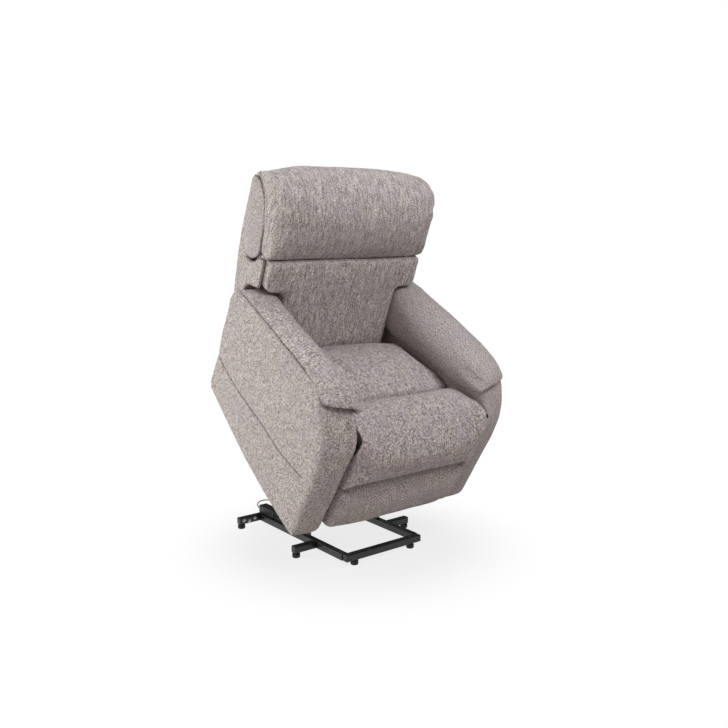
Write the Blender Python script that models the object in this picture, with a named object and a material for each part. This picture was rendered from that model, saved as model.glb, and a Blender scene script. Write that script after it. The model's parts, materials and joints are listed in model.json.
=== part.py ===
"""Power lift recliner chair, modelled raised to its full tilt, with the back upright and the footrest in.

World frame: metres, +Z up, the front of the chair towards -Y and its width along X. The origin lies on the
floor, in the middle of the chair's length and width as it stands here, its lead left out.
Pieces of the chair are drawn in the seat's own frame, in which the chair stands level: y = 0 and z = 0 lie
at the lowest front point of the arms. Pieces of a swinging link are drawn with the link along +Y.
"""
import math
from math import atan2, cos, hypot, pi, radians, sin

import bmesh
import bpy
from mathutils import Vector

for item in list(bpy.data.objects):
    bpy.data.objects.remove(item, do_unlink=True)

# ---------------------------------------------------------------- driving sizes
gap = 0.0003                    # clearance between touching pieces
run_gap = 0.0006                # clearance of a pin in its hole

# how the chair stands
lift_tilt = radians(30)         # forward tilt at full lift
lifted_tip = (-0.115, 0.171)    # lowest front point of the arms at full lift (y, z)
seated_tip = (-0.020, 0.036)    # the same point with the chair down

# floor base
tube_size = 0.028               # square tube
foot_height = 0.020
foot_radius = 0.016
front_tube_half = 0.190
front_tube_y = -0.122           # centre line of the front tube
rail_x = 0.180                  # centre line of the side rails
outrigger_y = 0.078
rear_tube_y = 0.505
rear_tube_half = 0.295
foot_inset = 0.014              # foot centre to the end of an outrigger
front_foot_x = 0.143

# lift linkage, heights and points of the pins
plate_thick = 0.006
pin_radius = 0.006
rear_pin_height = 0.180         # rear link pin on the base
front_pin_height = 0.155        # front link pin on the base
rear_link_point = (0.530, 0.130)    # rear link pin on the chair, seat frame
front_link_point = (0.390, 0.090)   # front link pin on the chair, seat frame
rear_link_width = 0.042
front_link_width = 0.030
crank_radius = 0.075            # rear link pin to actuator pin
crank_angle = radians(60)       # actuator pin above the line of the rear link
torque_tube_radius = 0.0125
torque_tube_reach = 0.0475
torque_tube_angle = radians(82)
open_pin_clearance = 0.0008     # where the four-bar linkage is left open

# actuators
lift_motor_pin = (0.470, 0.085)     # pin of the lift motor on the base (y, z)
actuator_tube_radius = 0.019
actuator_tube_bore = 0.0105
actuator_rod_radius = 0.0095
actuator_tube_reach = 0.300     # motor pin to the end of the lift tube
eye_radius = 0.013
eye_half = 0.010
pin_cap = 0.004                 # from an eye to the ears on both sides of it
back_motor_pin = (0.130, 0.165)     # pin of the back motor, seat frame
back_lug_point = (0.680, 0.155)     # where its rod pulls on the back
back_motor_x = 0.240

# seat frame
frame_bottom = 0.216
frame_top = 0.262
rail_thick = 0.030
front_rail_y = 0.045
rear_rail_y = 0.575
cross_tube_size = 0.0255
side_plate_x = 0.190
spring_radius = 0.0022
spring_sway = 0.022
spring_bends = 11
spring_count = 3
spring_spacing = 0.140

# widths across the chair
arm_inner = 0.3155              # middle plane to the arm's inner face
arm_outer = 0.430
frame_play = 0.0008             # seat frame to the arm
seat_play = 0.0006              # seat cushion to the arm
plate_room = 0.0107             # room for the footrest plates between the arm and the knee roll
pad_hang = 0.0255               # how far an arm pad stands in past the arm's inner face
pad_overhang = 0.015            # and out past its outer face
drape_bulge = 0.009             # how far the pad swells inwards where it hangs over the arm's inner face
lumbar_play = 0.003             # lower back cushion to that swell
core_inset = 0.020              # back core to the arm pads
back_inset = 0.060              # back shell to the arm's outer face
wing_inset = 0.004              # upper part of the back cushion to the shell's side
head_overhang = 0.012           # headrest past the shell's side
frame_half = arm_inner - frame_play
seat_half = arm_inner - seat_play
roll_half = arm_inner - plate_room
pad_inner = arm_inner - pad_hang
pad_outer = arm_outer + pad_overhang
back_half = arm_outer - back_inset
back_core_half = pad_inner - core_inset
lumbar_half = pad_inner - drape_bulge - lumbar_play
lumbar_upper_half = back_half - wing_inset
head_half = back_half + head_overhang

# upholstery
arm_top = 0.5697
arm_rear = 0.7565
pad_front = 0.030
pad_rear = 0.752
pad_thick = 0.068
drape_clearance = 0.006         # hem of the pad over the seat
seam_y = 0.190                  # seam between the seat cushion and the knee roll
seat_rear = 0.586
seat_rear_height = 0.408
seat_front_height = 0.456
roll_front = -0.056
roll_top = 0.504
leg_top = 0.390                 # top of the footrest when it is shut
roll_middle = (seam_y - 0.085, leg_top + 0.010)     # the point the knee roll draws in towards at its ends
leg_split = 0.240               # seam between the calf pad and the apron
leg_bottom = 0.016
leg_board_front = 0.018
leg_board_back = 0.040
lumbar_step = 0.648             # height where the back cushion widens over the arms
head_bottom = 0.757
head_front = 0.660
head_middle = (0.790, 0.900)    # the point the headrest draws in towards at its ends
shell_top = 0.9965
shell_front = 0.766             # front face of the back shell, low down
shell_shoulder = (0.816, 0.669)     # where that face has leaned back
shell_neck = 0.836              # and where it meets the headrest
core_low_front = (0.685, 0.400)     # front face of the back core
core_high_front = (0.700, 0.500)
head_crown = 0.078              # how far the headrest rises over the shell

# joints
footrest_pin = (-0.020, 0.468)      # seat frame
back_pin = (0.660, 0.270)           # seat frame
back_range = radians(35)
footrest_range = radians(85)

# hand switch on the outside of the left arm
switch_y = (0.130, 0.190)
switch_z = (0.400, 0.500)
switch_thick = 0.0042
button_size = 0.034
button_rise = 0.0030
button_travel = 0.0020

# power supply and its lead
supply_x = (-0.186, -0.146)
supply_y = (0.400, 0.515)
supply_height = 0.036
lead_radius = 0.0022
gland_radius = 0.0042
gland_length = 0.005
lead_route = [(-0.1660, 0.5203, 0.0590), (-0.1660, 0.5340, 0.0580), (-0.1663, 0.5500, 0.0600),
              (-0.1655, 0.5600, 0.0680), (-0.1610, 0.5600, 0.0770), (-0.1520, 0.5530, 0.0850),
              (-0.1380, 0.5420, 0.0890), (-0.1220, 0.5310, 0.0880), (-0.1060, 0.5190, 0.0850),
              (-0.0900, 0.5030, 0.0835), (-0.0760, 0.4860, 0.0860), (-0.0690, 0.4680, 0.0925),
              (-0.0610, 0.4520, 0.1020), (-0.0510, 0.4430, 0.1100), (-0.0390, 0.4400, 0.1130),
              (-0.0263, 0.4400, 0.1130)]

# ---------------------------------------------------------------- materials


def material(name, colour, roughness, metallic):
    made = bpy.data.materials.new(name)
    made.use_nodes = True
    shader = made.node_tree.nodes["Principled BSDF"]
    shader.inputs["Base Color"].default_value = (*colour, 1)
    shader.inputs["Roughness"].default_value = roughness
    shader.inputs["Metallic"].default_value = metallic
    made.diffuse_color = (*colour, 1)
    return made


black_steel = material("black_steel", (0.022, 0.022, 0.024), 0.42, 0.65)
black_plastic = material("black_plastic", (0.018, 0.018, 0.019), 0.5, 0.0)
rubber = material("rubber", (0.015, 0.015, 0.015), 0.8, 0.0)
wood = material("frame_wood", (0.52, 0.36, 0.21), 0.7, 0.0)
weave = material("grey_weave", (0.42, 0.385, 0.375), 0.92, 0.0)
spring_steel = material("spring_steel", (0.25, 0.25, 0.25), 0.35, 1.0)
grey_plastic = material("grey_plastic", (0.22, 0.22, 0.23), 0.45, 0.0)
chrome = material("rod_steel", (0.62, 0.62, 0.62), 0.2, 1.0)

# ---------------------------------------------------------------- linkage geometry


def turned(point, angle):
    y, z = point
    return (y * cos(angle) - z * sin(angle), y * sin(angle) + z * cos(angle))


def lifted(point):
    y, z = turned(point, lift_tilt)
    return (lifted_tip[0] + y, lifted_tip[1] + z)


def seated(point):
    return (seated_tip[0] + point[0], seated_tip[1] + point[1])


def base_pin(point, height):
    """The base pin, at a given height, from which one link reaches the point in both positions."""
    up, down = lifted(point), seated(point)
    middle = ((up[0] + down[0]) / 2, (up[1] + down[1]) / 2)
    run, rise = down[0] - up[0], down[1] - up[1]
    return (middle[0] - (height - middle[1]) * rise / run, height)


def length(start, end):
    return hypot(end[0] - start[0], end[1] - start[1])


def direction(start, end):
    return atan2(end[1] - start[1], end[0] - start[0])


rear_pin = base_pin(rear_link_point, rear_pin_height)
front_pin = base_pin(front_link_point, front_pin_height)
rear_link_length = length(rear_pin, lifted(rear_link_point))
front_link_length = length(front_pin, lifted(front_link_point))
rear_link_up = direction(rear_pin, lifted(rear_link_point))
rear_link_down = direction(rear_pin, seated(rear_link_point))
front_link_up = direction(front_pin, lifted(front_link_point))
front_link_down = direction(front_pin, seated(front_link_point))
crank_point = (crank_radius * cos(crank_angle), crank_radius * sin(crank_angle))
torque_point = (torque_tube_reach * cos(torque_tube_angle), torque_tube_reach * sin(torque_tube_angle))


def crank_at(link_angle):
    y, z = turned(crank_point, link_angle)
    return (rear_pin[0] + y, rear_pin[1] + z)


# hinge and slide of the actuator keep constant ratios to the link, so its rod aims outside the arc, by half
# the arc's bow
half_bow = crank_radius * (1 - cos((rear_link_up - rear_link_down) / 2)) / 2
bow_angle = (rear_link_up + rear_link_down) / 2 + crank_angle


def rod_aim(link_angle):
    y, z = crank_at(link_angle)
    return (y + half_bow * cos(bow_angle), z + half_bow * sin(bow_angle))


lift_motor_up = direction(lift_motor_pin, rod_aim(rear_link_up))
lift_motor_down = direction(lift_motor_pin, rod_aim(rear_link_down))
lift_rod_out = length(lift_motor_pin, rod_aim(rear_link_up))
lift_rod_in = length(lift_motor_pin, rod_aim(rear_link_down))


def back_lug_at(angle):
    y, z = back_lug_point[0] - back_pin[0], back_lug_point[1] - back_pin[1]
    y, z = turned((y, z), -angle)
    return (back_pin[0] + y, back_pin[1] + z)


back_motor_shut = direction(back_motor_pin, back_lug_at(0))
back_motor_open = direction(back_motor_pin, back_lug_at(back_range))
back_rod_out = length(back_motor_pin, back_lug_at(0))
back_rod_in = length(back_motor_pin, back_lug_at(back_range))

# ---------------------------------------------------------------- body frames


def axis_empty(name, parent, place, angle):
    empty = bpy.data.objects.new(name, None)
    bpy.context.collection.objects.link(empty)
    empty.empty_display_size = 0.05
    empty.parent = parent
    empty.location = place
    empty.rotation_euler = (angle, 0, 0)
    return empty


class Body:
    """A moving body: an empty on its joint axis, and the point of the drawing frame that lies there."""

    def __init__(self, name, parent, place, angle, origin):
        self.empty = axis_empty(name, parent.empty if parent else None, place, angle)
        self.origin = Vector(origin)


base = Body("base_frame", None, (0, 0, 0), 0, (0, 0, 0))
lift_arm = Body("lift_arm_axis", base, (0, *rear_pin), rear_link_up, (0, 0, 0))
front_arm = Body("front_link_axis", base, (0, *front_pin), front_link_up, (0, 0, 0))
lift_motor = Body("lift_motor_axis", base, (0, *lift_motor_pin), lift_motor_up, (0, 0, 0))
lift_rod = Body("lift_rod_axis", lift_motor, (0, 0, 0), 0, (0, 0, 0))
chair = Body("chair_axis", lift_arm, (0, rear_link_length, 0), lift_tilt - rear_link_up,
             (0, *rear_link_point))


def on_chair(x, point):
    return (x, point[0] - rear_link_point[0], point[1] - rear_link_point[1])


back = Body("back_axis", chair, on_chair(0, back_pin), 0, (0, *back_pin))
footrest = Body("footrest_axis", chair, on_chair(0, footrest_pin), 0, (0, *footrest_pin))
back_motor = Body("back_motor_axis", chair, on_chair(back_motor_x, back_motor_pin), back_motor_shut,
                  (0, 0, 0))
back_rod = Body("back_rod_axis", back_motor, (0, 0, 0), 0, (0, 0, 0))

# ---------------------------------------------------------------- solids


def place(name, mesh_maker, body, look, smooth_angle=30):
    """Make a mesh object on a body. The mesh maker is drawn in the body's drawing frame."""
    mesh = bpy.data.meshes.new(name)
    bmesh.ops.recalc_face_normals(mesh_maker, faces=mesh_maker.faces)
    if mesh_maker.calc_volume(signed=True) < 0:
        bmesh.ops.reverse_faces(mesh_maker, faces=mesh_maker.faces)
    mesh_maker.to_mesh(mesh)
    mesh_maker.free()
    made = bpy.data.objects.new(name, mesh)
    bpy.context.collection.objects.link(made)
    made.parent = body.empty
    made.location = -body.origin
    mesh.materials.append(look)
    mesh.shade_smooth()
    mesh.set_sharp_from_angle(angle=radians(smooth_angle))
    return made


def bevelled(made, width, segments=2):
    edge = made.modifiers.new("edge", "BEVEL")
    edge.width = width
    edge.segments = segments
    edge.limit_method = "ANGLE"
    edge.angle_limit = radians(40)
    return made


def join_part(made, part, operation="UNION"):
    """Join a helper solid to an object, or cut it away, and hide the helper."""
    part.hide_render = True
    part.display_type = "WIRE"
    step = made.modifiers.new("join", "BOOLEAN")
    step.operation = operation
    step.object = part


def box(name, xs, ys, zs, body, look, bevel=0.0, segments=2):
    maker = bmesh.new()
    bmesh.ops.create_cube(maker, size=1)
    for vert in maker.verts:
        vert.co.x = xs[0] if vert.co.x < 0 else xs[1]
        vert.co.y = ys[0] if vert.co.y < 0 else ys[1]
        vert.co.z = zs[0] if vert.co.z < 0 else zs[1]
    made = place(name, maker, body, look)
    return bevelled(made, bevel, segments) if bevel else made


def circle(centre, radius, count=20):
    return [(centre[0] + radius * cos(2 * pi * k / count), centre[1] + radius * sin(2 * pi * k / count))
            for k in range(count)]


def capsule(start, end, radius, count=8):
    """Outline of a bar with round ends, in the plane of its two pins."""
    turn = direction(start, end)
    points = [(end[0] + radius * cos(turn - pi / 2 + pi * k / count),
               end[1] + radius * sin(turn - pi / 2 + pi * k / count)) for k in range(count + 1)]
    points += [(start[0] + radius * cos(turn + pi / 2 + pi * k / count),
                start[1] + radius * sin(turn + pi / 2 + pi * k / count)) for k in range(count + 1)]
    return points


def plate(name, outline, side, x_near, x_far, body, look, holes=(), pins=()):
    """A flat plate between two distances from the middle plane, with holes, and pins that stand out of it.

    side is -1 or 1. Each pin is (centre, radius, the x where it ends or the two x where it ends).
    """
    maker = bmesh.new()

    def loop(points):
        verts = [maker.verts.new((0, y, z)) for y, z in points]
        return [maker.edges.new((verts[k], verts[(k + 1) % len(verts)])) for k in range(len(verts))]

    edges = loop(outline)
    pin_loops = []
    for centre, radius in holes:
        edges += loop(circle(centre, radius))
    for centre, radius, *_ in pins:
        pin_loops.append(loop(circle(centre, radius)))
        edges += pin_loops[-1]
    bmesh.ops.triangle_fill(maker, use_beauty=True, use_dissolve=False, edges=edges)
    for ring in pin_loops:
        corners = [edge.verts[0] for edge in ring]
        if not any(set(face.verts) <= set(corners) for face in maker.faces):
            maker.faces.new(corners)
    near_faces = list(maker.faces)
    grown = bmesh.ops.extrude_face_region(maker, geom=near_faces + list(maker.edges) + list(maker.verts),
                                          use_keep_orig=True)
    far_verts = {item for item in grown["geom"] if isinstance(item, bmesh.types.BMVert)}
    for vert in maker.verts:
        vert.co.x = x_far if vert in far_verts else x_near
    for centre, radius, *ends in pins:
        for end in ends:
            level = x_far if end > x_far else x_near
            cap = [face for face in maker.faces
                   if all(abs(vert.co.x - level) < 1e-6
                          and length((vert.co.y, vert.co.z), centre) < radius + 1e-5 for vert in face.verts)]
            raised = bmesh.ops.extrude_discrete_faces(maker, faces=cap)
            for face in raised["faces"]:
                for vert in face.verts:
                    vert.co.x = end
    for vert in maker.verts:
        vert.co.x *= side
    return place(name, maker, body, look)


def turned_solid(name, profile, centre, axis, body, look, count=24):
    """A turned solid: (radius, height) points from the axis round to the axis again."""
    maker = bmesh.new()
    rings = []
    for radius, height in profile:
        if radius == 0:
            rings.append([maker.verts.new((0, 0, height))])
        else:
            rings.append([maker.verts.new((radius * cos(2 * pi * k / count), radius * sin(2 * pi * k / count),
                                           height)) for k in range(count)])
    for low, high in zip(rings, rings[1:]):
        for k in range(count):
            after = (k + 1) % count
            if len(low) == 1:
                maker.faces.new((low[0], high[k], high[after]))
            elif len(high) == 1:
                maker.faces.new((low[k], high[0], low[after]))
            else:
                maker.faces.new((low[k], high[k], high[after], low[after]))
    for vert in maker.verts:
        x, y, z = vert.co
        if axis == "x":
            x, y, z = z, x, y
        elif axis == "y":
            x, y, z = y, z, x
        vert.co = (x + centre[0], y + centre[1], z + centre[2])
    return place(name, maker, body, look)


def loft(name, stations, section, body, look, smooth_angle=50):
    """A closed solid through rings of points; section(station) gives one ring."""
    maker = bmesh.new()
    rings = [[maker.verts.new(point) for point in section(station)] for station in stations]
    count = len(rings[0])
    for low, high in zip(rings, rings[1:]):
        for k in range(count):
            maker.faces.new((low[k], low[(k + 1) % count], high[(k + 1) % count], high[k]))
    maker.faces.new(rings[0])
    maker.faces.new(list(reversed(rings[-1])))
    return place(name, maker, body, look, smooth_angle)


def eased(points, rounds=1):
    """Corner cutting: a closed outline made smoother."""
    for _ in range(rounds):
        cut = []
        for k, here in enumerate(points):
            after = points[(k + 1) % len(points)]
            cut.append((0.75 * here[0] + 0.25 * after[0], 0.75 * here[1] + 0.25 * after[1]))
            cut.append((0.25 * here[0] + 0.75 * after[0], 0.25 * here[1] + 0.75 * after[1]))
        points = cut
    return points


def cushion_across(name, outline, middle, half, body, look, draw=0.10, crown=0.0, count=12, power=3.2,
                   backed=None):
    """A cushion whose outline in (y, z) runs across the chair, drawn in towards its two ends.

    draw is the share by which the outline shrinks towards its middle point at the ends. backed(y, z) is true
    for the points that lie against another piece, which stay where they are.
    """
    stations = [half * sin(pi / 2 * (2 * k / count - 1)) for k in range(count + 1)]

    def section(x):
        edge = abs(x) / half
        shrink = 1 - draw * edge ** power
        lift = crown * (1 - edge ** 2)
        ring = []
        for y, z in outline:
            if backed and backed(y, z):
                ring.append((x, y, z))
                continue
            y_in = middle[0] + (y - middle[0]) * shrink
            z_in = middle[1] + (z - middle[1]) * shrink
            if z > middle[1]:
                z_in += lift * min(1, (z - middle[1]) / 0.05)
            ring.append((x, y_in, z_in))
        return ring

    return loft(name, stations, section, body, look)


def both_sides(maker):
    for side, word in ((-1, "right"), (1, "left")):
        maker(side, word)


def spread(side, near, far):
    """An x range on one side of the middle plane, low end first."""
    return (near, far) if side > 0 else (-far, -near)


# ---------------------------------------------------------------- floor base
tube_top = foot_height + tube_size
tube_zs = (foot_height, tube_top)
rail_inner = rail_x - tube_size / 2
rail_outer = rail_x + tube_size / 2
front_tube_back = front_tube_y + tube_size / 2
rear_tube_front = rear_tube_y - tube_size / 2


def foot(name, x, y):
    top = foot_height - gap
    profile = [(0, 0), (foot_radius * 0.86, 0), (foot_radius, 0.003), (foot_radius, top - 0.004),
               (foot_radius * 0.72, top - 0.001), (foot_radius * 0.72, top), (0, top)]
    turned_solid(name, profile, (x, y, 0), "z", base, rubber, 24)


def floor_base():
    box("front_tube", (-front_tube_half, front_tube_half),
        (front_tube_y - tube_size / 2, front_tube_back), tube_zs, base, black_steel, 0.0025)
    box("rear_cross_tube", (-rear_tube_half, rear_tube_half),
        (rear_tube_front, rear_tube_y + tube_size / 2), tube_zs, base, black_steel, 0.0025)

    def side_parts(side, word):
        box("base_rail_" + word, spread(side, rail_inner, rail_outer),
            (front_tube_back + gap, rear_tube_front - gap), tube_zs, base, black_steel, 0.0025)
        box("outrigger_" + word, spread(side, rail_outer + gap, rear_tube_half),
            (outrigger_y - tube_size / 2, outrigger_y + tube_size / 2), tube_zs, base, black_steel, 0.0025)
        foot("front_foot_" + word, side * front_foot_x, front_tube_y)
        foot("middle_foot_" + word, side * (rear_tube_half - foot_inset), outrigger_y)
        foot("rear_foot_" + word, side * (rear_tube_half - foot_inset), rear_tube_y)

    both_sides(side_parts)


# ---------------------------------------------------------------- lift linkage
# layers outward from the middle: rear link, base bracket, front link, side plate of the chair
rear_link_x = (rail_x - 0.0103, rail_x - 0.0043)
bracket_x = (rail_x - 0.004, rail_x + 0.002)
front_link_x = (rail_x + 0.0023, rail_x + 0.0083)
side_x = (side_plate_x, side_plate_x + plate_thick)
pin_end = side_x[1] + 0.003


def lift_linkage():
    bracket_foot = tube_top + gap
    rear_y, rear_z = rear_pin
    front_y, front_z = front_pin
    bracket = [(0.125, bracket_foot), (supply_y[0] - 0.006, bracket_foot),
               (supply_y[0] - 0.006, bracket_foot + 0.014), (0.300, bracket_foot + 0.020),
               (0.200, rear_z - 0.030), (rear_y + 0.022, rear_z + 0.020), (rear_y - 0.010, rear_z + 0.024),
               (front_y - 0.010, front_z + 0.020), (front_y - 0.019, front_z + 0.002),
               (front_y - 0.009, front_z - 0.016), (0.080, front_z - 0.020), (0.125, bracket_foot + 0.030)]
    rear_end = (rear_link_length, 0)
    half = rear_link_width / 2
    rear_outline = [(rear_link_length + half * cos(t), half * sin(t))
                    for t in [-pi / 2 + pi * k / 8 for k in range(9)]]
    rear_outline += [(0.135, half)]
    rear_outline += [(torque_point[0] + 0.024 * cos(t), torque_point[1] + 0.024 * sin(t))
                     for t in [radians(10) + radians(150) * k / 6 for k in range(7)]]
    rear_outline += [(half * cos(t), half * sin(t)) for t in [pi + pi / 2 * k / 4 for k in range(5)]]
    hole = pin_radius + run_gap

    def side_parts(side, word):
        plate("lift_bracket_" + word, bracket, side, *bracket_x, base, black_steel,
              holes=[(rear_pin, hole), (front_pin, hole)])
        plate("rear_lift_link_" + word, rear_outline, side, *rear_link_x, lift_arm, black_steel,
              pins=[((0, 0), pin_radius, bracket_x[1]), (rear_end, pin_radius, pin_end)])
        plate("front_lift_link_" + word,
              capsule((0, 0), (front_link_length, 0), front_link_width / 2), side, *front_link_x,
              front_arm, black_steel,
              pins=[((0, 0), pin_radius, bracket_x[0] + gap),
                    ((front_link_length, 0), pin_radius, pin_end)])

    both_sides(side_parts)
    torque_tube()


def torque_tube():
    """The cross tube between the rear links, with the two ears that the lift rod's eye sits between."""
    reach = rear_link_x[0] - gap
    profile = [(0, -reach), (torque_tube_radius, -reach), (torque_tube_radius, reach), (0, reach)]
    tube = turned_solid("torque_tube", profile, (0, *torque_point), "x", lift_arm, black_steel)
    outline = capsule(torque_point, crank_point, 0.011)
    for side in (-1, 1):
        ear = plate("torque_ear_cutter_%d" % (side + 1), outline, side, eye_half + pin_cap + 2 * gap,
                    eye_half + pin_cap + 2 * gap + plate_thick, lift_arm, black_steel)
        join_part(tube, ear)


def actuator(name, reach, bore_start, body, rod_body, look_rod, rod_name, rod_inner, rod_tip, can_side):
    """A motor housing with its outer tube, drawn along +Y from its pin, and the rod that slides in it."""
    housing = turned_solid(name, [(0, 0.045), (actuator_tube_radius, 0.045), (actuator_tube_radius, reach),
                                  (actuator_tube_bore, reach), (actuator_tube_bore, bore_start),
                                  (0, bore_start)], (0, 0, 0), "y", body, black_plastic)
    neck = box(name + "_neck_cutter", (-eye_half, eye_half), (0.002, 0.030), (-0.009, 0.009), body,
               black_plastic)
    gearbox = box(name + "_gearbox_cutter", (-0.026, 0.026), (0.023, 0.080),
                  tuple(sorted((-can_side * 0.024, can_side * 0.076))), body, black_plastic, 0.006)
    can = turned_solid(name + "_can_cutter", [(0, 0.070), (0.022, 0.070), (0.022, 0.148), (0.018, 0.152),
                                              (0, 0.152)], (0, 0, can_side * 0.050), "y", body, black_plastic)
    eye = turned_solid(name + "_eye_cutter", [(0, -eye_half), (eye_radius, -eye_half), (eye_radius, eye_half),
                                              (0, eye_half)], (0, 0, 0), "x", body, black_plastic)
    for part in (gearbox, can, neck, eye):
        join_part(housing, part)
    drill = turned_solid(name + "_drill_cutter", [(0, -0.03), (pin_radius + run_gap, -0.03),
                                                  (pin_radius + run_gap, 0.03), (0, 0.03)],
                         (0, 0, 0), "x", body, black_plastic)
    join_part(housing, drill, "DIFFERENCE")
    rod = turned_solid(rod_name, [(0, rod_inner), (actuator_rod_radius, rod_inner),
                                  (actuator_rod_radius, rod_tip), (0, rod_tip)], (0, 0, 0), "y",
                       rod_body, look_rod)
    return rod


def rod_eye(rod, name, tip, body, half):
    """A cross pin through the rod's end, which reaches to the ears on both sides."""
    end = turned_solid(name + "_eye_cutter", [(0, -eye_half), (eye_radius, -eye_half), (eye_radius, eye_half),
                                              (0, eye_half)], (0, tip, 0), "x", body, chrome)
    pin = turned_solid(name + "_pin_cutter", [(0, -half), (pin_radius, -half), (pin_radius, half), (0, half)],
                       (0, tip, 0), "x", body, chrome)
    for part in (end, pin):
        join_part(rod, part)


def lift_actuator():
    stroke = lift_rod_out - lift_rod_in
    engaged = 0.030
    rod_inner = actuator_tube_reach - engaged
    bore_start = rod_inner - stroke - 0.010
    rod = actuator("lift_motor", actuator_tube_reach, bore_start, lift_motor, lift_rod, chrome, "lift_rod",
                   rod_inner, lift_rod_out - 0.004, -1)
    rod_eye(rod, "lift_rod", lift_rod_out, lift_rod, eye_half + pin_cap + gap)
    motor_clevis()


def motor_clevis():
    """Two cheeks and a pin that carry the lift motor, on the front face of the rear tube."""
    y, z = lift_motor_pin
    cheek_near = eye_half + 2 * gap
    cheek_far = cheek_near + 0.005
    back_face = rear_tube_front - gap
    outline = [(back_face, foot_height + 0.004), (back_face, z + 0.004), (y + 0.006, z + 0.016),
               (y - 0.008, z + 0.013), (y - 0.014, z), (y - 0.010, z - 0.012),
               (y + 0.004, foot_height + 0.004)]
    clevis = box("motor_clevis", (-cheek_far, cheek_far), (back_face - 0.004, back_face),
                 (foot_height + 0.004, z + 0.004), base, black_steel)
    for side in (-1, 1):
        cheek = plate("clevis_cheek_cutter_%d" % (side + 1), outline, side, cheek_near, cheek_far, base,
                      black_steel)
        join_part(clevis, cheek)
    pin = turned_solid("clevis_pin_cutter", [(0, -cheek_far - 0.003), (pin_radius, -cheek_far - 0.003),
                                             (pin_radius, cheek_far + 0.003), (0, cheek_far + 0.003)],
                       (0, y, z), "x", base, black_steel)
    join_part(clevis, pin)


def power_supply():
    zs = (tube_top + gap, tube_top + gap + supply_height)
    supply = box("power_supply", supply_x, supply_y, zs, base, black_plastic, 0.004)
    x, _, z = lead_route[0]
    gland = turned_solid("supply_gland_cutter", [(0, -0.004), (gland_radius, -0.004),
                                                 (gland_radius, gland_length), (0, gland_length)],
                         (x, supply_y[1], z), "y", base, black_plastic)
    join_part(supply, gland)
    lead = bpy.data.curves.new("motor_lead", "CURVE")
    lead.dimensions = "3D"
    lead.bevel_depth = lead_radius
    lead.bevel_resolution = 2
    lead.use_fill_caps = True
    points = smooth_route(lead_route, 4)
    spline = lead.splines.new("POLY")
    spline.points.add(len(points) - 1)
    for slot, point in zip(spline.points, points):
        slot.co = (*point, 1)
    made = bpy.data.objects.new("motor_lead", lead)
    bpy.context.collection.objects.link(made)
    made.parent = base.empty
    lead.materials.append(rubber)


def smooth_route(route, steps):
    """Points along one smooth curve through a route's own points."""
    points = [Vector(point) for point in route]
    points = [2 * points[0] - points[1]] + points + [2 * points[-1] - points[-2]]
    out = []
    for k in range(1, len(points) - 2):
        before, start, end, after = points[k - 1:k + 3]
        for step in range(steps):
            t = step / steps
            bend = 2 * before - 5 * start + 4 * end - after
            twist = 3 * start - before - 3 * end + after
            out.append(0.5 * (2 * start + (end - before) * t + bend * t ** 2 + twist * t ** 3))
    out.append(points[-2])
    return out


# ---------------------------------------------------------------- seat frame
plate_top = frame_bottom - gap - cross_tube_size - gap
front_cross_y = (0.060, 0.060 + cross_tube_size)
rear_cross_y = (0.555, 0.555 + cross_tube_size)


def seat_frame():
    hole = pin_radius + run_gap
    outline = [(front_cross_y[0], plate_top), (front_cross_y[0], plate_top - 0.030), (0.220, 0.100),
               (front_link_point[0] - 0.030, front_link_point[1] - 0.028),
               (front_link_point[0] + 0.030, front_link_point[1] - 0.028),
               (rear_link_point[0] - 0.010, rear_link_point[1] - 0.034),
               (rear_link_point[0] + 0.030, rear_link_point[1] - 0.026), (rear_cross_y[1], 0.135),
               (rear_cross_y[1], plate_top)]
    cross_zs = (frame_bottom - gap - cross_tube_size, frame_bottom - gap)
    front_tube = box("seat_cross_tube_front", (-frame_half, frame_half), front_cross_y, cross_zs, chair,
                     black_steel, 0.002)
    join_part(front_tube, back_motor_hanger())
    box("seat_cross_tube_rear", (-frame_half, frame_half), rear_cross_y, cross_zs, chair, black_steel, 0.002)
    rail_zs = (frame_bottom, frame_top)
    box("seat_rail_front", (-frame_half, frame_half), (front_rail_y, front_rail_y + rail_thick), rail_zs,
        chair, wood, 0.002)
    box("seat_rail_rear", (-frame_half, frame_half), (rear_rail_y, rear_rail_y + rail_thick), rail_zs,
        chair, wood, 0.002)

    def side_parts(side, word):
        plate("chair_side_plate_" + word, outline, side, *side_x, chair, black_steel,
              holes=[(rear_link_point, hole), (front_link_point, hole + open_pin_clearance)])
        box("seat_rail_" + word, spread(side, frame_half - rail_thick, frame_half),
            (front_rail_y + rail_thick + gap, rear_rail_y - gap), rail_zs, chair, wood, 0.002)

    both_sides(side_parts)
    for number in range(spring_count):
        seat_spring("seat_spring_%d" % (number + 1), (number - (spring_count - 1) / 2) * spring_spacing)


def back_motor_hanger():
    """The ear, with its pin, that carries the back motor on the front cross tube."""
    y, z = back_motor_pin
    near = back_motor_x - eye_half - 2 * gap
    root = plate_top + gap + 0.006
    outline = [(front_cross_y[0] + 0.003, root), (front_cross_y[0] + 0.003, plate_top - 0.004),
               (y - 0.014, z - 0.010), (y, z - 0.014), (y + 0.011, z - 0.006), (y + 0.011, z + 0.006),
               (y - 0.004, z + 0.014), (front_cross_y[1] - 0.003, plate_top),
               (front_cross_y[1] - 0.003, root)]
    return plate("back_motor_hanger_cutter", outline, 1, near - plate_thick, near, chair, black_steel,
                 pins=[(back_motor_pin, pin_radius, back_motor_x + eye_half)])


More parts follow.
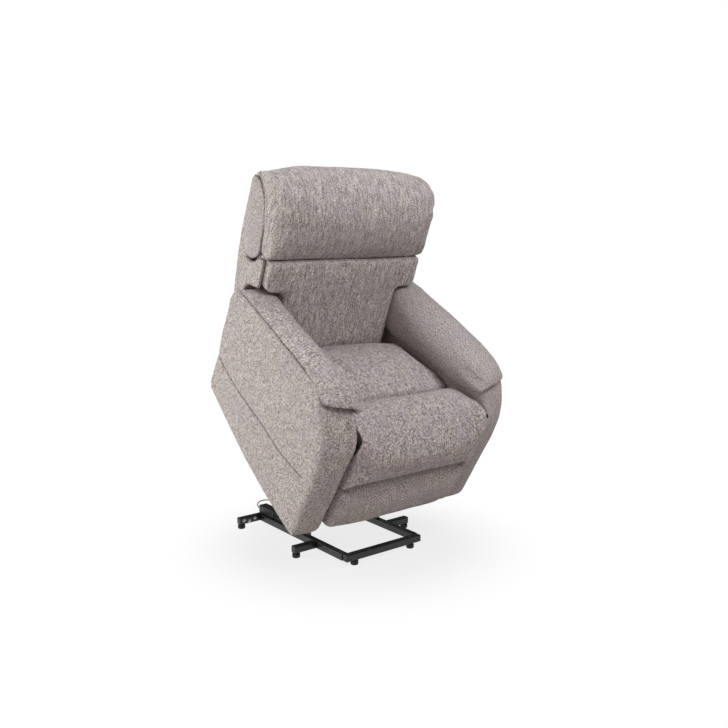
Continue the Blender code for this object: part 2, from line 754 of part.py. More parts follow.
def seat_spring(name, x):
    """A zigzag wire from the front rail to the rear rail."""
    start = front_rail_y + rail_thick + gap
    end = rear_rail_y - gap
    per_bend = 4
    count = spring_bends * per_bend
    points = []
    for k in range(count + 1):
        share = k / count
        sway = spring_sway * sin(pi * k / per_bend) if 1 < k < count - 1 else 0
        points.append((x + sway, start + (end - start) * share, frame_top - 0.006))
    wire = bpy.data.curves.new(name, "CURVE")
    wire.dimensions = "3D"
    wire.bevel_depth = spring_radius
    wire.bevel_resolution = 1
    wire.use_fill_caps = True
    spline = wire.splines.new("POLY")
    spline.points.add(len(points) - 1)
    for slot, point in zip(spline.points, points):
        slot.co = (*point, 1)
    made = bpy.data.objects.new(name, wire)
    bpy.context.collection.objects.link(made)
    made.parent = chair.empty
    made.location = -chair.origin
    wire.materials.append(spring_steel)


# ---------------------------------------------------------------- seat and knee roll
cushion_bottom = frame_top + 2 * gap


def seat_upholstery():
    front = seam_y + gap
    seat = eased([(front, cushion_bottom), (front, seat_front_height - 0.026),
                  (front + 0.014, seat_front_height), (seam_y + 0.110, seat_front_height + 0.002),
                  (seam_y + 0.230, seat_front_height - 0.011), (seam_y + 0.330, seat_front_height - 0.032),
                  (seat_rear - 0.006, seat_rear_height), (seat_rear, seat_rear_height - 0.030),
                  (seat_rear, cushion_bottom)])
    seat = [(y, max(z, cushion_bottom)) for y, z in seat]
    cushion_across("seat_cushion", seat, (0.390, cushion_bottom), seat_half, chair, weave,
                   draw=0.035, crown=0.012)
    step_z = leg_top + 0.0057
    step_y = leg_board_back + 0.0045
    knee = [(seam_y, cushion_bottom), (seam_y, 0.442), (0.182, 0.460), (0.150, 0.474), (0.100, 0.490),
            (0.050, 0.501), (0.006, roll_top), (-0.030, 0.492), (-0.050, 0.465), (roll_front, 0.432),
            (-0.052, step_z + 0.010), (-0.038, step_z + 0.001), (0.000, step_z), (step_y - 0.004, step_z),
            (step_y, step_z - 0.004), (step_y, cushion_bottom)]
    cushion_across("knee_roll", knee, roll_middle, roll_half, chair, weave, draw=0.030, crown=0.006)
    for side, word in ((-1, "right"), (1, "left")):
        y, z = footrest_pin
        plate("footrest_pivot_plate_" + word,
              [(y - 0.013, z - 0.008), (y - 0.006, z - 0.014), (y + 0.050, z - 0.060), (y + 0.110, z - 0.060),
               (y + 0.110, z - 0.010), (y + 0.050, z + 0.018), (y, z + 0.015), (y - 0.011, z + 0.010)],
              side, arm_inner - gap - 0.0040, arm_inner - gap, chair, black_steel,
              holes=[(footrest_pin, pin_radius + run_gap)])


# ---------------------------------------------------------------- arms
def seat_level(y):
    """Height of the seat's top surface along its sides."""
    line = [(-0.10, roll_top), (0.02, roll_top), (0.10, 0.492), (0.19, 0.468),
            (0.30, seat_front_height + 0.004), (0.42, 0.448), (0.52, 0.428),
            (seat_rear, seat_rear_height + 0.003), (1.0, seat_rear_height + 0.003)]
    for (start, low), (end, high) in zip(line, line[1:]):
        if y <= end:
            return low + (high - low) * (y - start) / (end - start)
    return line[-1][1]


def arms():
    outline = [(0.006, 0.0), (0.215, 0.016), (0.426, 0.045), (0.620, 0.090), (0.744, 0.119),
               (arm_rear, 0.150), (arm_rear, arm_top - 0.018), (arm_rear - 0.020, arm_top), (0.060, arm_top),
               (0.022, 0.500), (-0.002, 0.430), (-0.008, 0.330), (-0.005, 0.180), (0.000, 0.006)]

    low = arm_top + gap
    inner = arm_inner - 0.0005

    def pad_section(y):
        end = min(1, max(0, (y - pad_front) / 0.060), max(0, (pad_rear - y) / 0.050))
        full = 1 - (1 - end) ** 2.4
        along = (y - pad_front) / (pad_rear - pad_front)
        rise = pad_thick * (0.25 + 0.75 * full) * (1 - 0.42 * max(0, along - 0.55) ** 1.2)
        out = pad_outer - 0.008 * (1 - full)
        into = pad_inner - drape_bulge * full + 0.012 * (1 - full)
        hem = low - (low - seat_level(y) - drape_clearance) * full
        middle = (low + hem) / 2
        return [(inner, low), (out - 0.008, low), (out, low + 0.25 * rise), (out - 0.003, low + 0.55 * rise),
                (out - 0.015, low + 0.84 * rise), (out - 0.040, low + 0.97 * rise), (out - 0.078, low + rise),
                (pad_inner + 0.040, low + 0.95 * rise), (pad_inner + 0.018, low + 0.72 * rise),
                (into + 0.008, low + 0.32 * rise), (into, middle + 0.35 * (low - middle)),
                (into + 0.001, middle - 0.45 * (middle - hem)), (into + 0.010, hem + 0.002),
                (inner - 0.006, hem), (inner, hem + 0.004)]

    def side_parts(side, word):
        arm = plate("arm_" + word, outline, side, arm_inner, arm_outer, chair, weave)
        bevelled(arm, 0.010, 2)
        stations = [pad_front + (pad_rear - pad_front) * share
                    for share in (0, 0.012, 0.035, 0.07, 0.12, 0.22, 0.36, 0.52, 0.68, 0.82, 0.92, 0.97, 1)]
        loft("arm_pad_" + word, stations,
             lambda y: [(side * x, y, z) for x, z in pad_section(y)], chair, weave)

    both_sides(side_parts)


def hand_switch():
    """A plate with two push buttons on the outer face of the left arm."""
    face = arm_outer + gap
    middle_y = sum(switch_y) / 2
    middle_z = sum(switch_z) / 2
    shift = (switch_z[1] - switch_z[0]) / 4

    def square(centre_z, half, corner=0.006):
        points = []
        for turn in range(4):
            for step in range(3):
                angle = turn * pi / 2 + step * pi / 4
                cy = middle_y + (half - corner) * (1 if turn in (0, 3) else -1)
                cz = centre_z + (half - corner) * (1 if turn in (0, 1) else -1)
                points.append((cy + corner * cos(angle), cz + corner * sin(angle)))
        return points

    outline = [(switch_y[0], switch_z[0]), (switch_y[1], switch_z[0]), (switch_y[1], switch_z[1]),
               (switch_y[0], switch_z[1])]
    panel = plate("switch_plate", outline, 1, face, face + switch_thick, chair, black_plastic)
    for place_z, word in ((middle_z + shift, "up"), (middle_z - shift, "down")):
        opening = plate("switch_opening_cutter_" + word, square(place_z, button_size / 2 + gap), 1,
                        face - 0.004, face + switch_thick + 0.004, chair, black_plastic)
        join_part(panel, opening, "DIFFERENCE")
        button = Body("button_" + word + "_axis", chair, on_chair(face, (middle_y, place_z)), 0,
                      (face, middle_y, place_z))
        start = face + button_travel + gap
        plate("button_" + word, square(place_z, button_size / 2), 1, start,
              face + switch_thick + button_rise, button, grey_plastic)


# ---------------------------------------------------------------- back
def back_rest():
    shell = [(0.795, 0.302), (0.822, 0.380), (0.852, 0.470), (0.874, 0.530), (0.892, 0.600), (0.908, 0.669),
             (0.922, 0.742), (0.932, 0.811), (0.940, 0.886), (0.944, 0.960), (0.934, 0.988),
             (0.914, shell_top), (0.872, shell_top), (0.860, 0.960), (0.851, 0.886), (0.844, 0.811),
             (shell_neck, head_bottom), shell_shoulder, (shell_front, 0.530), (shell_front, 0.312),
             (0.775, 0.302)]
    outer = plate("back_shell", shell, 1, -back_half, back_half, back, weave)
    bevelled(outer, 0.012, 2)
    pin_y, pin_z = back_pin
    core = [(pin_y - 0.020, 0.2960), (pin_y - 0.015, pin_z), (pin_y - 0.008, pin_z - 0.014),
            (pin_y + 0.008, pin_z - 0.014), (pin_y + 0.018, pin_z), (pin_y + 0.030, 0.2850),
            (shell_front - 0.0005, 0.2960), (shell_front - 0.0005, 0.530),
            (shell_shoulder[0] - 0.0007, shell_shoulder[1]), (shell_neck - 0.0010, head_bottom - gap),
            (0.760, head_bottom - gap), (0.735, 0.660), core_high_front, core_low_front]
    plate("back_core", core, 1, -back_core_half, back_core_half, back, wood,
          pins=[(back_pin, pin_radius, back_core_half + 0.017, -back_core_half - 0.017)])
    lug_y, lug_z = back_lug_point
    lug_top = pin_z - 0.014 - gap
    plate("back_motor_lug",
          [(pin_y - 0.007, lug_top), (lug_y - 0.012, lug_z + 0.010), (lug_y - 0.014, lug_z),
           (lug_y - 0.009, lug_z - 0.012), (lug_y + 0.009, lug_z - 0.012), (lug_y + 0.014, lug_z),
           (lug_y + 0.010, lug_z + 0.030), (pin_y + 0.007, lug_top)],
          1, back_motor_x + eye_half + pin_cap + 2 * gap,
          back_motor_x + eye_half + pin_cap + 2 * gap + plate_thick, back, black_steel)
    bracket = [(rear_rail_y + 0.012, frame_top + gap), (rear_rail_y + rail_thick, frame_top + gap),
               (pin_y - 0.010, pin_z - 0.016), (pin_y + 0.014, pin_z - 0.012), (pin_y + 0.018, pin_z + 0.004),
               (pin_y + 0.008, pin_z + 0.017), (pin_y - 0.020, pin_z + 0.024),
               (rear_rail_y + 0.012, pin_z + 0.022)]
    for side, word in ((-1, "right"), (1, "left")):
        plate("back_hinge_bracket_" + word, bracket, side, back_core_half + 0.010, back_core_half + 0.016,
              chair, black_steel, holes=[(back_pin, pin_radius + run_gap)])
    back_cushions()


def back_cushions():
    soft = 0.0011                   # the cushion to the core behind it
    lower = [(0.600, 0.300), (0.636, 0.300), (core_low_front[0] - soft, core_low_front[1]),
             (core_high_front[0] - soft, core_high_front[1]), (0.7295, 0.640), (0.7339, 0.662),
             (0.7589, head_bottom - 0.0005), (0.712, head_bottom - 0.0005), (0.676, 0.742), (0.660, 0.715),
             (0.650, 0.685), (0.6445, 0.643), (0.641, 0.620), (0.632, 0.560), (0.620, 0.500), (0.604, 0.430),
             (0.594, 0.390), (0.592, 0.330)]
    low = [k for k, (_, z) in enumerate(lower) if z < lumbar_step]
    start = next(k for k in low if (k - 1) % len(lower) not in low)
    chain = [(start + k) % len(lower) for k in range(len(low))]
    wing_front, wing_back = lower[chain[0] - 1][0], lower[(chain[-1] + 1) % len(lower)][0]
    wing = list(lower)
    for k, corner in enumerate(chain):
        share = (k + 1) / (len(chain) + 1)
        wing[corner] = (wing_front + (wing_back - wing_front) * share, lumbar_step)
    inner = [lumbar_half * share for share in (-1, -0.97, -0.88, -0.70, -0.40, 0, 0.40, 0.70, 0.88, 0.97, 1)]
    outer = [lumbar_half + 0.001, lumbar_upper_half - 0.020, lumbar_upper_half - 0.005, lumbar_upper_half]
    stations = [-x for x in reversed(outer)] + inner + outer

    def section(x):
        if abs(x) > lumbar_half:
            edge = (abs(x) - lumbar_half) / (lumbar_upper_half - lumbar_half)
            return [(x, y + (wing_back - 0.02 - y) * 0.35 * edge ** 3 if y < wing_back - 0.02 else y,
                     z + 0.010 * edge ** 3 if z == lumbar_step else z) for y, z in wing]
        pull = 0.16 * (abs(x) / lumbar_half) ** 8
        return [(x, y + (0.700 - y) * pull if y < 0.660 and 0.310 < z < lumbar_step else y, z)
                for y, z in lower]

    loft("lumbar_cushion", stations, section, back, weave)
    head = [(0.762, head_bottom), (0.700, head_bottom), (0.674, 0.776), (head_front + 0.001, 0.820),
            (head_front, 0.880), (0.668, 0.950), (0.690, 1.010), (0.727, 1.050),
            (0.785, shell_top + head_crown - 0.008), (0.850, shell_top + head_crown - 0.012), (0.905, 1.040),
            (0.930, 1.015), (0.934, shell_top + gap * 3), (0.868, shell_top + gap * 3), (0.8580, 0.965),
            (0.8485, 0.886), (0.8415, 0.811), (0.8340, head_bottom)]
    cushion_across("headrest_cushion", head, head_middle, head_half, back, weave, draw=0.10, crown=0.008,
                   count=14, power=5, backed=lambda y, z: y > 0.830 and z < shell_top + 0.003)


# ---------------------------------------------------------------- footrest
def foot_rest():
    outer = frame_half - 0.0085
    box("footrest_board", (-outer, outer), (leg_board_front + gap, leg_board_back),
        (leg_bottom + 0.014, leg_top - 0.005), footrest, wood, 0.002)
    back_face = leg_board_front
    calf = [(back_face, leg_top), (-0.026, leg_top), (-0.048, leg_top - 0.010), (-0.056, leg_top - 0.045),
            (-0.057, 0.300), (-0.053, leg_split + 0.020), (-0.042, leg_split + 0.005), (-0.026, leg_split),
            (back_face, leg_split)]
    apron = [(back_face, leg_split - 0.001), (-0.026, leg_split - 0.001), (-0.044, leg_split - 0.008),
             (-0.052, leg_split - 0.040), (-0.050, 0.120), (-0.043, 0.050), (-0.032, leg_bottom + 0.008),
             (-0.018, leg_bottom), (back_face, leg_bottom)]
    cushion_across("calf_pad", calf, (back_face, (leg_top + leg_split) / 2), roll_half, footrest, weave,
                   draw=0.06, count=10, power=5)
    cushion_across("footrest_apron", apron, (back_face, (leg_bottom + leg_split) / 2), roll_half, footrest,
                   weave, draw=0.05, count=10, power=5)
    y, z = footrest_pin
    swing = [(y - 0.012, z + 0.004), (y - 0.013, z - 0.006), (y - 0.004, z - 0.060), (leg_board_front, 0.340),
             (leg_board_front, 0.180), (leg_board_back, 0.180), (leg_board_back, 0.350),
             (y + 0.026, z - 0.020), (y + 0.012, z + 0.008), (y, z + 0.014)]
    near = outer + gap
    far = arm_inner - gap - 0.0040 - gap
    for side, word in ((-1, "right"), (1, "left")):
        plate("footrest_swing_plate_" + word, swing, side, near, far, footrest, black_steel,
              pins=[(footrest_pin, pin_radius, arm_inner - 2 * gap)])


def back_actuator():
    stroke = back_rod_out - back_rod_in
    engaged = 0.060
    tube_reach = 0.340
    rod_inner = tube_reach - engaged
    rod = actuator("back_motor", tube_reach, rod_inner - stroke - 0.010, back_motor, back_rod, chrome,
                   "back_rod", rod_inner, back_rod_out - 0.004, -1)
    rod_eye(rod, "back_rod", back_rod_out, back_rod, eye_half + pin_cap + gap)


floor_base()
lift_linkage()
lift_actuator()
power_supply()
seat_frame()
seat_upholstery()
arms()
hand_switch()
back_rest()
foot_rest()
back_actuator()


def centre_on_floor():
    """Move the whole chair so that the origin lies in the middle of its length."""
    bpy.context.view_layer.update()
    reach = []
    for made in bpy.data.objects:
        if made.type == "MESH" and not made.hide_render:
            reach += [(made.matrix_world @ Vector(corner.co)).y for corner in made.data.vertices]
    base.empty.location.y = -(min(reach) + max(reach)) / 2


centre_on_floor()

print("rear link pin %.4f %.4f  angles %.3f %.3f deg  length %.4f" % (
    *rear_pin, math.degrees(rear_link_up), math.degrees(rear_link_down), rear_link_length))
print("front link pin %.4f %.4f  angles %.3f %.3f deg  length %.4f" % (
    *front_pin, math.degrees(front_link_up), math.degrees(front_link_down), front_link_length))
print("lift motor angles %.3f %.3f deg  rod %.4f %.4f" % (
    math.degrees(lift_motor_up), math.degrees(lift_motor_down), lift_rod_out, lift_rod_in))
print("back motor angles %.3f %.3f deg  rod %.4f %.4f" % (
    math.degrees(back_motor_shut), math.degrees(back_motor_open), back_rod_out, back_rod_in))
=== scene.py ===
import json
from math import atan2, cos, pi, sin

import bmesh
import bpy
import numpy as np
from mathutils import Matrix, Vector, noise
from mathutils.bvhtree import BVHTree


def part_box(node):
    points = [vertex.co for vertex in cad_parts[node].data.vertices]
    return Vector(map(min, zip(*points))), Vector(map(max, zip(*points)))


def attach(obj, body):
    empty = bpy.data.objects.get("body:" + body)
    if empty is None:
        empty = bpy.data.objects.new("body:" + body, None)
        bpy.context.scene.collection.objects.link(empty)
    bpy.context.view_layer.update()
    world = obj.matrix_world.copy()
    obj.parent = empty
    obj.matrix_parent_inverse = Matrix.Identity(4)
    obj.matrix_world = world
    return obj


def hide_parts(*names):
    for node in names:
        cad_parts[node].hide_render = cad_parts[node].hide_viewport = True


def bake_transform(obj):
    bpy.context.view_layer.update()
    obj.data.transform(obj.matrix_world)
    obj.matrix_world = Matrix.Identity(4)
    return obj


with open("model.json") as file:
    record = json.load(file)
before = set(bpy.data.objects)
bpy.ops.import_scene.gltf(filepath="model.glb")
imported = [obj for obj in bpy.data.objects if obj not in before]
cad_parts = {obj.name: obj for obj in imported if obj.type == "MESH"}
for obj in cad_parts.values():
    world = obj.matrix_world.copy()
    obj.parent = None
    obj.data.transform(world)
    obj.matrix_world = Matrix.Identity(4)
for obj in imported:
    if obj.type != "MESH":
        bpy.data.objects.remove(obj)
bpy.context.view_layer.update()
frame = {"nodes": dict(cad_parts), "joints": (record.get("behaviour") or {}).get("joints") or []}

joints = {joint["name"]: joint for joint in frame["joints"]}
print("frame loaded:", len(frame["nodes"]), "CAD nodes")

# ------ the chair's own level frame: y runs back from the arm fronts, z up from the arm bottoms
seatPins = {"footrest": (-0.02, 0.468), "back": (0.66, 0.27)}   # the two hinges in that frame


def seatFrame():
    low = joints["footrest_swing"]["pos_m"][1:]
    high = joints["back_recline"]["pos_m"][1:]
    run = (seatPins["back"][0] - seatPins["footrest"][0], seatPins["back"][1] - seatPins["footrest"][1])
    turn = atan2(high[1] - low[1], high[0] - low[0]) - atan2(run[1], run[0])
    y, z = seatPins["footrest"]
    return turn, (low[0] - y * cos(turn) + z * sin(turn), low[1] - y * sin(turn) - z * cos(turn))


tilt, tip = seatFrame()
sides = {"right": -1, "left": 1}


def toWorld(points):
    points = np.asarray(points, float)
    x, y, z = points[..., 0], points[..., 1], points[..., 2]
    return np.stack([x, tip[0] + y * cos(tilt) - z * sin(tilt), tip[1] + y * sin(tilt) + z * cos(tilt)], -1)


def toSeat(points):
    points = np.asarray(points, float)
    x, y, z = points[..., 0], points[..., 1] - tip[0], points[..., 2] - tip[1]
    return np.stack([x, y * cos(tilt) + z * sin(tilt), z * cos(tilt) - y * sin(tilt)], -1)


# ------ camera and studio
camera = {"place": (-2.122, -2.7736, 1.312), "aim": (0.0, -0.0636, 0.759), "lens": 43.5, "sensor": 36.0}
studio = {
    "floorSize": 9.0, "floorColour": (0.56, 0.53, 0.52), "clearRadius": 0.32, "fadeRadius": 0.8,
    "floorGlow": 0.8, "ambient": 0.13, "ambientColour": (1.0, 0.96, 0.965),
    # name, place, aim, size, power, colour
    "lamps": [("keyLamp", (-3.1, 1.1, 1.35), (0, 0, 0.75), 3.4, 126, (1.0, 0.99, 0.965)),
              ("topLamp", (0.2, -0.1, 3.7), (0, 0, 0.8), 1.9, 26, (0.97, 0.955, 1.0)),
              ("frontLamp", (0.3, -2.8, 3.3), (0, 0, 0.8), 1.9, 82, (0.98, 0.963, 0.985)),
              ("lowLamp", (0.3, -2.6, 0.25), (0, 0, 0.5), 1.2, 4.0, (1.0, 0.62, 0.58))],
}


def aimAt(thing, target):
    thing.rotation_mode = "QUATERNION"
    thing.rotation_quaternion = (Vector(target) - thing.location).to_track_quat("-Z", "Y")


def link(thing):
    bpy.context.scene.collection.objects.link(thing)
    return thing


def makeCamera():
    lens = bpy.data.cameras.new("photoCamera")
    lens.lens = camera["lens"]
    lens.sensor_width = camera["sensor"]
    lens.dof.use_dof = False
    eye = link(bpy.data.objects.new("photoCamera", lens))
    eye.location = camera["place"]
    aimAt(eye, camera["aim"])
    bpy.context.scene.camera = eye
    bpy.context.scene.view_settings.view_transform = "Standard"


makeCamera()


# ------ shader maths: one class wraps a socket, and an expression on values adds its Math nodes
class Wire:
    def __init__(self, tree, socket=None):
        self.tree = tree
        self.socket = socket

    def node(self, kind, settings=None, inputs=None, output=0):
        made = self.tree.nodes.new(kind)
        for key, value in (settings or {}).items():
            if key == "stops":
                ramp = made.color_ramp
                while len(ramp.elements) > 1:
                    ramp.elements.remove(ramp.elements[-1])
                ramp.elements[0].position, ramp.elements[0].color = value[0][0], (*value[0][1], 1)
                for place, colour in value[1:]:
                    ramp.elements.new(place).color = (*colour, 1)
            else:
                setattr(made, key, value)
        for key, value in (inputs or {}).items():
            if isinstance(value, Wire):
                self.tree.links.new(value.socket, made.inputs[key])
            else:
                made.inputs[key].default_value = value
        return Wire(self.tree, made.outputs[output])

    def math(self, operation, *values):
        return self.node("ShaderNodeMath", {"operation": operation}, dict(enumerate(values)))

    def __add__(self, other):
        return self.math("ADD", self, other)

    def __sub__(self, other):
        return self.math("SUBTRACT", self, other)

    def __rsub__(self, other):
        return self.math("SUBTRACT", other, self)

    def __mul__(self, other):
        return self.math("MULTIPLY", self, other)

    def __truediv__(self, other):
        return self.math("DIVIDE", self, other)

    __radd__ = __add__
    __rmul__ = __mul__

    def held(self):
        return self.node("ShaderNodeClamp", {}, {"Value": self})

    def between(self, low, high):          # 0 below low, 1 above high, eased between
        return self.node("ShaderNodeMapRange", {"interpolation_type": "SMOOTHSTEP"},
                         {"Value": self, "From Min": low, "From Max": high})

    def stretched(self, scale):
        return self.node("ShaderNodeVectorMath", {"operation": "MULTIPLY"}, {0: self, 1: scale})

    def moved(self, step):
        return self.node("ShaderNodeVectorMath", {"operation": "ADD"}, {0: self, 1: step})

    def parts(self):
        split = self.node("ShaderNodeSeparateXYZ", {}, {0: self}).socket.node.outputs
        return tuple(Wire(self.tree, split[k]) for k in range(3))

    def joined(self, *values):
        return self.node("ShaderNodeCombineXYZ", {}, dict(enumerate(values)))

    def noise(self, scale, detail=2.0, rough=0.5):
        return self.node("ShaderNodeTexNoise", {}, {"Vector": self, "Scale": scale, "Detail": detail,
                                                    "Roughness": rough})

    def mixed(self, other, amount):        # colours: self, and other where amount is 1
        return self.node("ShaderNodeMix", {"data_type": "RGBA"}, {0: amount, 6: self, 7: other}, 2)


def newMaterial(name):
    made = bpy.data.materials.new(name)
    made.use_nodes = True
    tree = made.node_tree
    tree.nodes.clear()
    sheet = Wire(tree)
    return made, sheet


def closeMaterial(sheet, shader):
    out = sheet.tree.nodes.new("ShaderNodeOutputMaterial")
    sheet.tree.links.new(shader.socket, out.inputs["Surface"])


def srgb(*parts):                          # 0 to 255, as an eye reads them, to a linear colour
    return tuple(((p / 255 + 0.055) / 1.055) ** 2.4 if p > 10 else p / 255 / 12.92 for p in parts)


def solid(*parts):
    return (*srgb(*parts), 1.0)


# ------ the stage
def makeStage():
    made, sheet = newMaterial("paleFloor")
    place = sheet.node("ShaderNodeNewGeometry", {}, {}, "Position")
    flat = place.stretched((1, 1, 0))
    reach = sheet.node("ShaderNodeVectorMath", {"operation": "LENGTH"}, {0: flat}, "Value")
    grain = place.noise(60.0, 3.0)
    paint = sheet.node("ShaderNodeBsdfPrincipled", {},
                       {"Base Color": (*studio["floorColour"], 1), "Roughness": grain * 0.06 + 0.55})
    paint.socket.node.inputs["Specular IOR Level"].default_value = 0.2
    white = sheet.node("ShaderNodeEmission", {}, {"Color": (1, 1, 1, 1), "Strength": 1.0})
    seen = sheet.node("ShaderNodeLightPath", {}, {}, "Is Camera Ray")
    glossy = sheet.node("ShaderNodeLightPath", {}, {}, "Is Glossy Ray")
    far = reach.between(studio["clearRadius"], studio["fadeRadius"])
    fade = (far * (1 - studio["floorGlow"]) + studio["floorGlow"]) * (seen + glossy).held()
    closeMaterial(sheet, sheet.node("ShaderNodeMixShader", {}, {0: fade, 1: paint, 2: white}))
    maker = bmesh.new()
    bmesh.ops.create_grid(maker, x_segments=8, y_segments=8, size=studio["floorSize"])
    mesh = bpy.data.meshes.new("floor")
    maker.to_mesh(mesh)
    maker.free()
    floor = link(bpy.data.objects.new("floor", mesh))
    floor.location.z = -0.0004
    mesh.materials.append(made)

    world = bpy.data.worlds.new("studioWorld")
    bpy.context.scene.world = world
    world.use_nodes = True
    world.node_tree.nodes.clear()
    sky = Wire(world.node_tree)
    seen = sky.node("ShaderNodeLightPath", {}, {}, "Is Camera Ray")
    ambient = sky.node("ShaderNodeBackground", {}, {"Color": (*studio["ambientColour"], 1),
                                                    "Strength": studio["ambient"]})
    backdrop = sky.node("ShaderNodeBackground", {}, {"Color": (1, 1, 1, 1), "Strength": 1.0})
    both = sky.node("ShaderNodeMixShader", {}, {0: seen, 1: ambient, 2: backdrop})
    out = world.node_tree.nodes.new("ShaderNodeOutputWorld")
    world.node_tree.links.new(both.socket, out.inputs["Surface"])

    for name, place, aim, size, power, colour in studio["lamps"]:
        lamp = bpy.data.lights.new(name, "AREA")
        lamp.size = size
        lamp.energy = power
        lamp.color = colour
        holder = link(bpy.data.objects.new(name, lamp))
        holder.location = place
        aimAt(holder, aim)


makeStage()
print("camera and stage ready")

# ------ upholstery fabric: a heather tweed of separate threads, drawn in metres on "thread"
tweed = {
    "light": srgb(234, 227, 221), "middle": srgb(168, 160, 156), "dark": srgb(84, 76, 76),
    "lilac": srgb(163, 153, 168), "tan": srgb(172, 162, 147),
    # sizes in metres, and how much each kind of thread changes the tone
    "warp": 0.0048, "weft": 0.006, "run": 0.034, "wander": 0.0008, "fleck": 0.0046, "fibre": 0.0011,
    "patch": 0.085, "cellShare": 0.55, "yarnShare": 0.9, "fleckShare": 1.5, "fibreShare": 0.12,
    # painted shade: seamShadowColour is a thin dark line painted in each seam's groove, and
    # paintedShadeColour darkens a wider band beside it
    "seamGrooveAndShadowHalf": 0.0016, "seamShadowColour": solid(70, 60, 59), "paintedShadeReach": 0.009,
    "paintedShadeColour": solid(104, 94, 92), "stitchLine": 0.0062, "stitchPitch": 0.0072,
    "stitchColour": solid(140, 131, 127),
}


def makeTweed():
    made, sheet = newMaterial("heatherTweed")
    thread = sheet.node("ShaderNodeAttribute", {"attribute_name": "thread"}, {}, "Vector")
    seam = sheet.node("ShaderNodeAttribute", {"attribute_name": "seam"}, {}, "Vector")
    across, along, streak = seam.parts()
    # threads waver a little, then every warp and weft thread gets a number of its own
    shift = thread.node("ShaderNodeTexNoise", {}, {"Vector": thread, "Scale": 90.0, "Detail": 1.0}, 1)
    loose = thread.moved(shift.moved((-0.5, -0.5, -0.5)).stretched((tweed["wander"],) * 3))
    u, v, deep = loose.parts()
    warp, weft = u / tweed["warp"], v / tweed["weft"]
    warpNumber, weftNumber = warp.math("FLOOR", warp), weft.math("FLOOR", weft)
    cell = sheet.node("ShaderNodeTexWhiteNoise", {}, {"Vector": sheet.joined(warpNumber, weftNumber, deep)})
    yarn = sheet.joined(warpNumber * 7.31, v / tweed["run"], deep).noise(1.0, 1.0)
    fleck = loose.noise(1 / tweed["fleck"], 1.0)
    fibre = loose.noise(1 / tweed["fibre"], 2.0, 0.6)
    patch = thread.noise(1 / tweed["patch"], 2.0)
    tint = thread.noise(1 / (tweed["patch"] * 0.45), 1.0)
    tone = 0.5 + (cell - 0.5) * tweed["cellShare"] + (yarn - 0.5) * streak * tweed["yarnShare"]
    tone = (tone + (fleck - 0.5) * tweed["fleckShare"] + (fibre - 0.5) * tweed["fibreShare"]).held()
    base = sheet.node("ShaderNodeValToRGB", {"stops": [(0.08, tweed["dark"]), (0.5, tweed["middle"]),
                                                       (0.92, tweed["light"])]}, {0: tone})
    base = base.mixed((*tweed["lilac"], 1), patch.between(0.46, 0.62) * 0.2)
    base = base.mixed((*tweed["tan"], 1), tint.between(0.52, 0.66) * 0.12)
    # painted shade: a thin dark line along each seam stands for the shadow in its groove; the same mask also
    # sinks the bump there
    line = 1 - across.between(tweed["seamGrooveAndShadowHalf"] * 0.5, tweed["seamGrooveAndShadowHalf"] * 2.2)
    # painted shade: the cover is darkened in a band beside each seam, where the crease shades it
    shade = 1 - across.between(0.0, tweed["paintedShadeReach"])
    base = base.mixed(tweed["seamShadowColour"], line * 0.86)
    base = base.mixed(tweed["paintedShadeColour"], shade * 0.2)
    # topstitching: short dashes beside the seam
    beside = across.math("ABSOLUTE", across - tweed["stitchLine"])
    dash = (along / tweed["stitchPitch"]).math("FRACT", along / tweed["stitchPitch"]).between(0.3, 0.36)
    stitch = (1 - beside.between(0.0004, 0.001)) * dash
    base = base.mixed(tweed["stitchColour"], stitch * 0.4)
    # each thread is round, and passes over and under its neighbours
    crown = warp.math("SINE", warp * pi) * weft.math("SINE", weft * pi)
    height = crown.math("ABSOLUTE", crown) * 0.5 + fleck * 0.8 + fibre * 0.1 + yarn * 0.3
    height = height - line * 2.0 - stitch * 0.4
    bump = sheet.node("ShaderNodeBump", {}, {"Strength": 0.62, "Distance": 0.0015, "Height": height})
    paint = sheet.node("ShaderNodeBsdfPrincipled", {},
                       {"Base Color": base, "Roughness": 0.88 + fibre * 0.1, "Normal": bump})
    inputs = paint.socket.node.inputs
    inputs["Specular IOR Level"].default_value = 0.2
    inputs["Sheen Weight"].default_value = 0.1
    inputs["Sheen Roughness"].default_value = 0.45
    inputs["Sheen Tint"].default_value = (0.92, 0.9, 0.94, 1)
    closeMaterial(sheet, paint)
    return made


fabric = makeTweed()
gridless = 1.0      # a seam distance far from every seam
squareOn = 0.72     # a surface faces a way from this share of its normal on


# ------ mesh helpers
def pointsOf(mesh):
    flat = np.empty(len(mesh.vertices) * 3)
    mesh.vertices.foreach_get("co", flat)
    return flat.reshape(-1, 3)


def setPoints(mesh, points):
    mesh.vertices.foreach_set("co", np.asarray(points, np.float32).ravel())
    mesh.update()


def normalsOf(mesh):
    flat = np.empty(len(mesh.vertices) * 3)
    mesh.vertex_normals.foreach_get("vector", flat)
    return flat.reshape(-1, 3)


def edgesOf(mesh):
    flat = np.empty(len(mesh.edges) * 2, np.int32)
    mesh.edges.foreach_get("vertices", flat)
    return flat.reshape(-1, 2)


def smoothed(values, edges, rounds, keep=None, share=0.5):
    count = len(values)
    ends, others = edges.ravel(), edges[:, ::-1].ravel()
    degree = np.maximum(np.bincount(ends, minlength=count), 1)[:, None]
    for _ in range(rounds):
        total = np.stack([np.bincount(ends, weights=values[others, axis], minlength=count)
                          for axis in range(values.shape[1])], 1)
        moved = values + share * (total / degree - values)
        values = moved if keep is None else np.where(keep[:, None], values, moved)
    return values


def noiseOf(points, scale):
    return np.array([noise.noise(Vector(point)) for point in points * scale])


def eased(values, low, high):
    share = np.clip((values - low) / (high - low), 0, 1)
    return share * share * (3 - 2 * share)


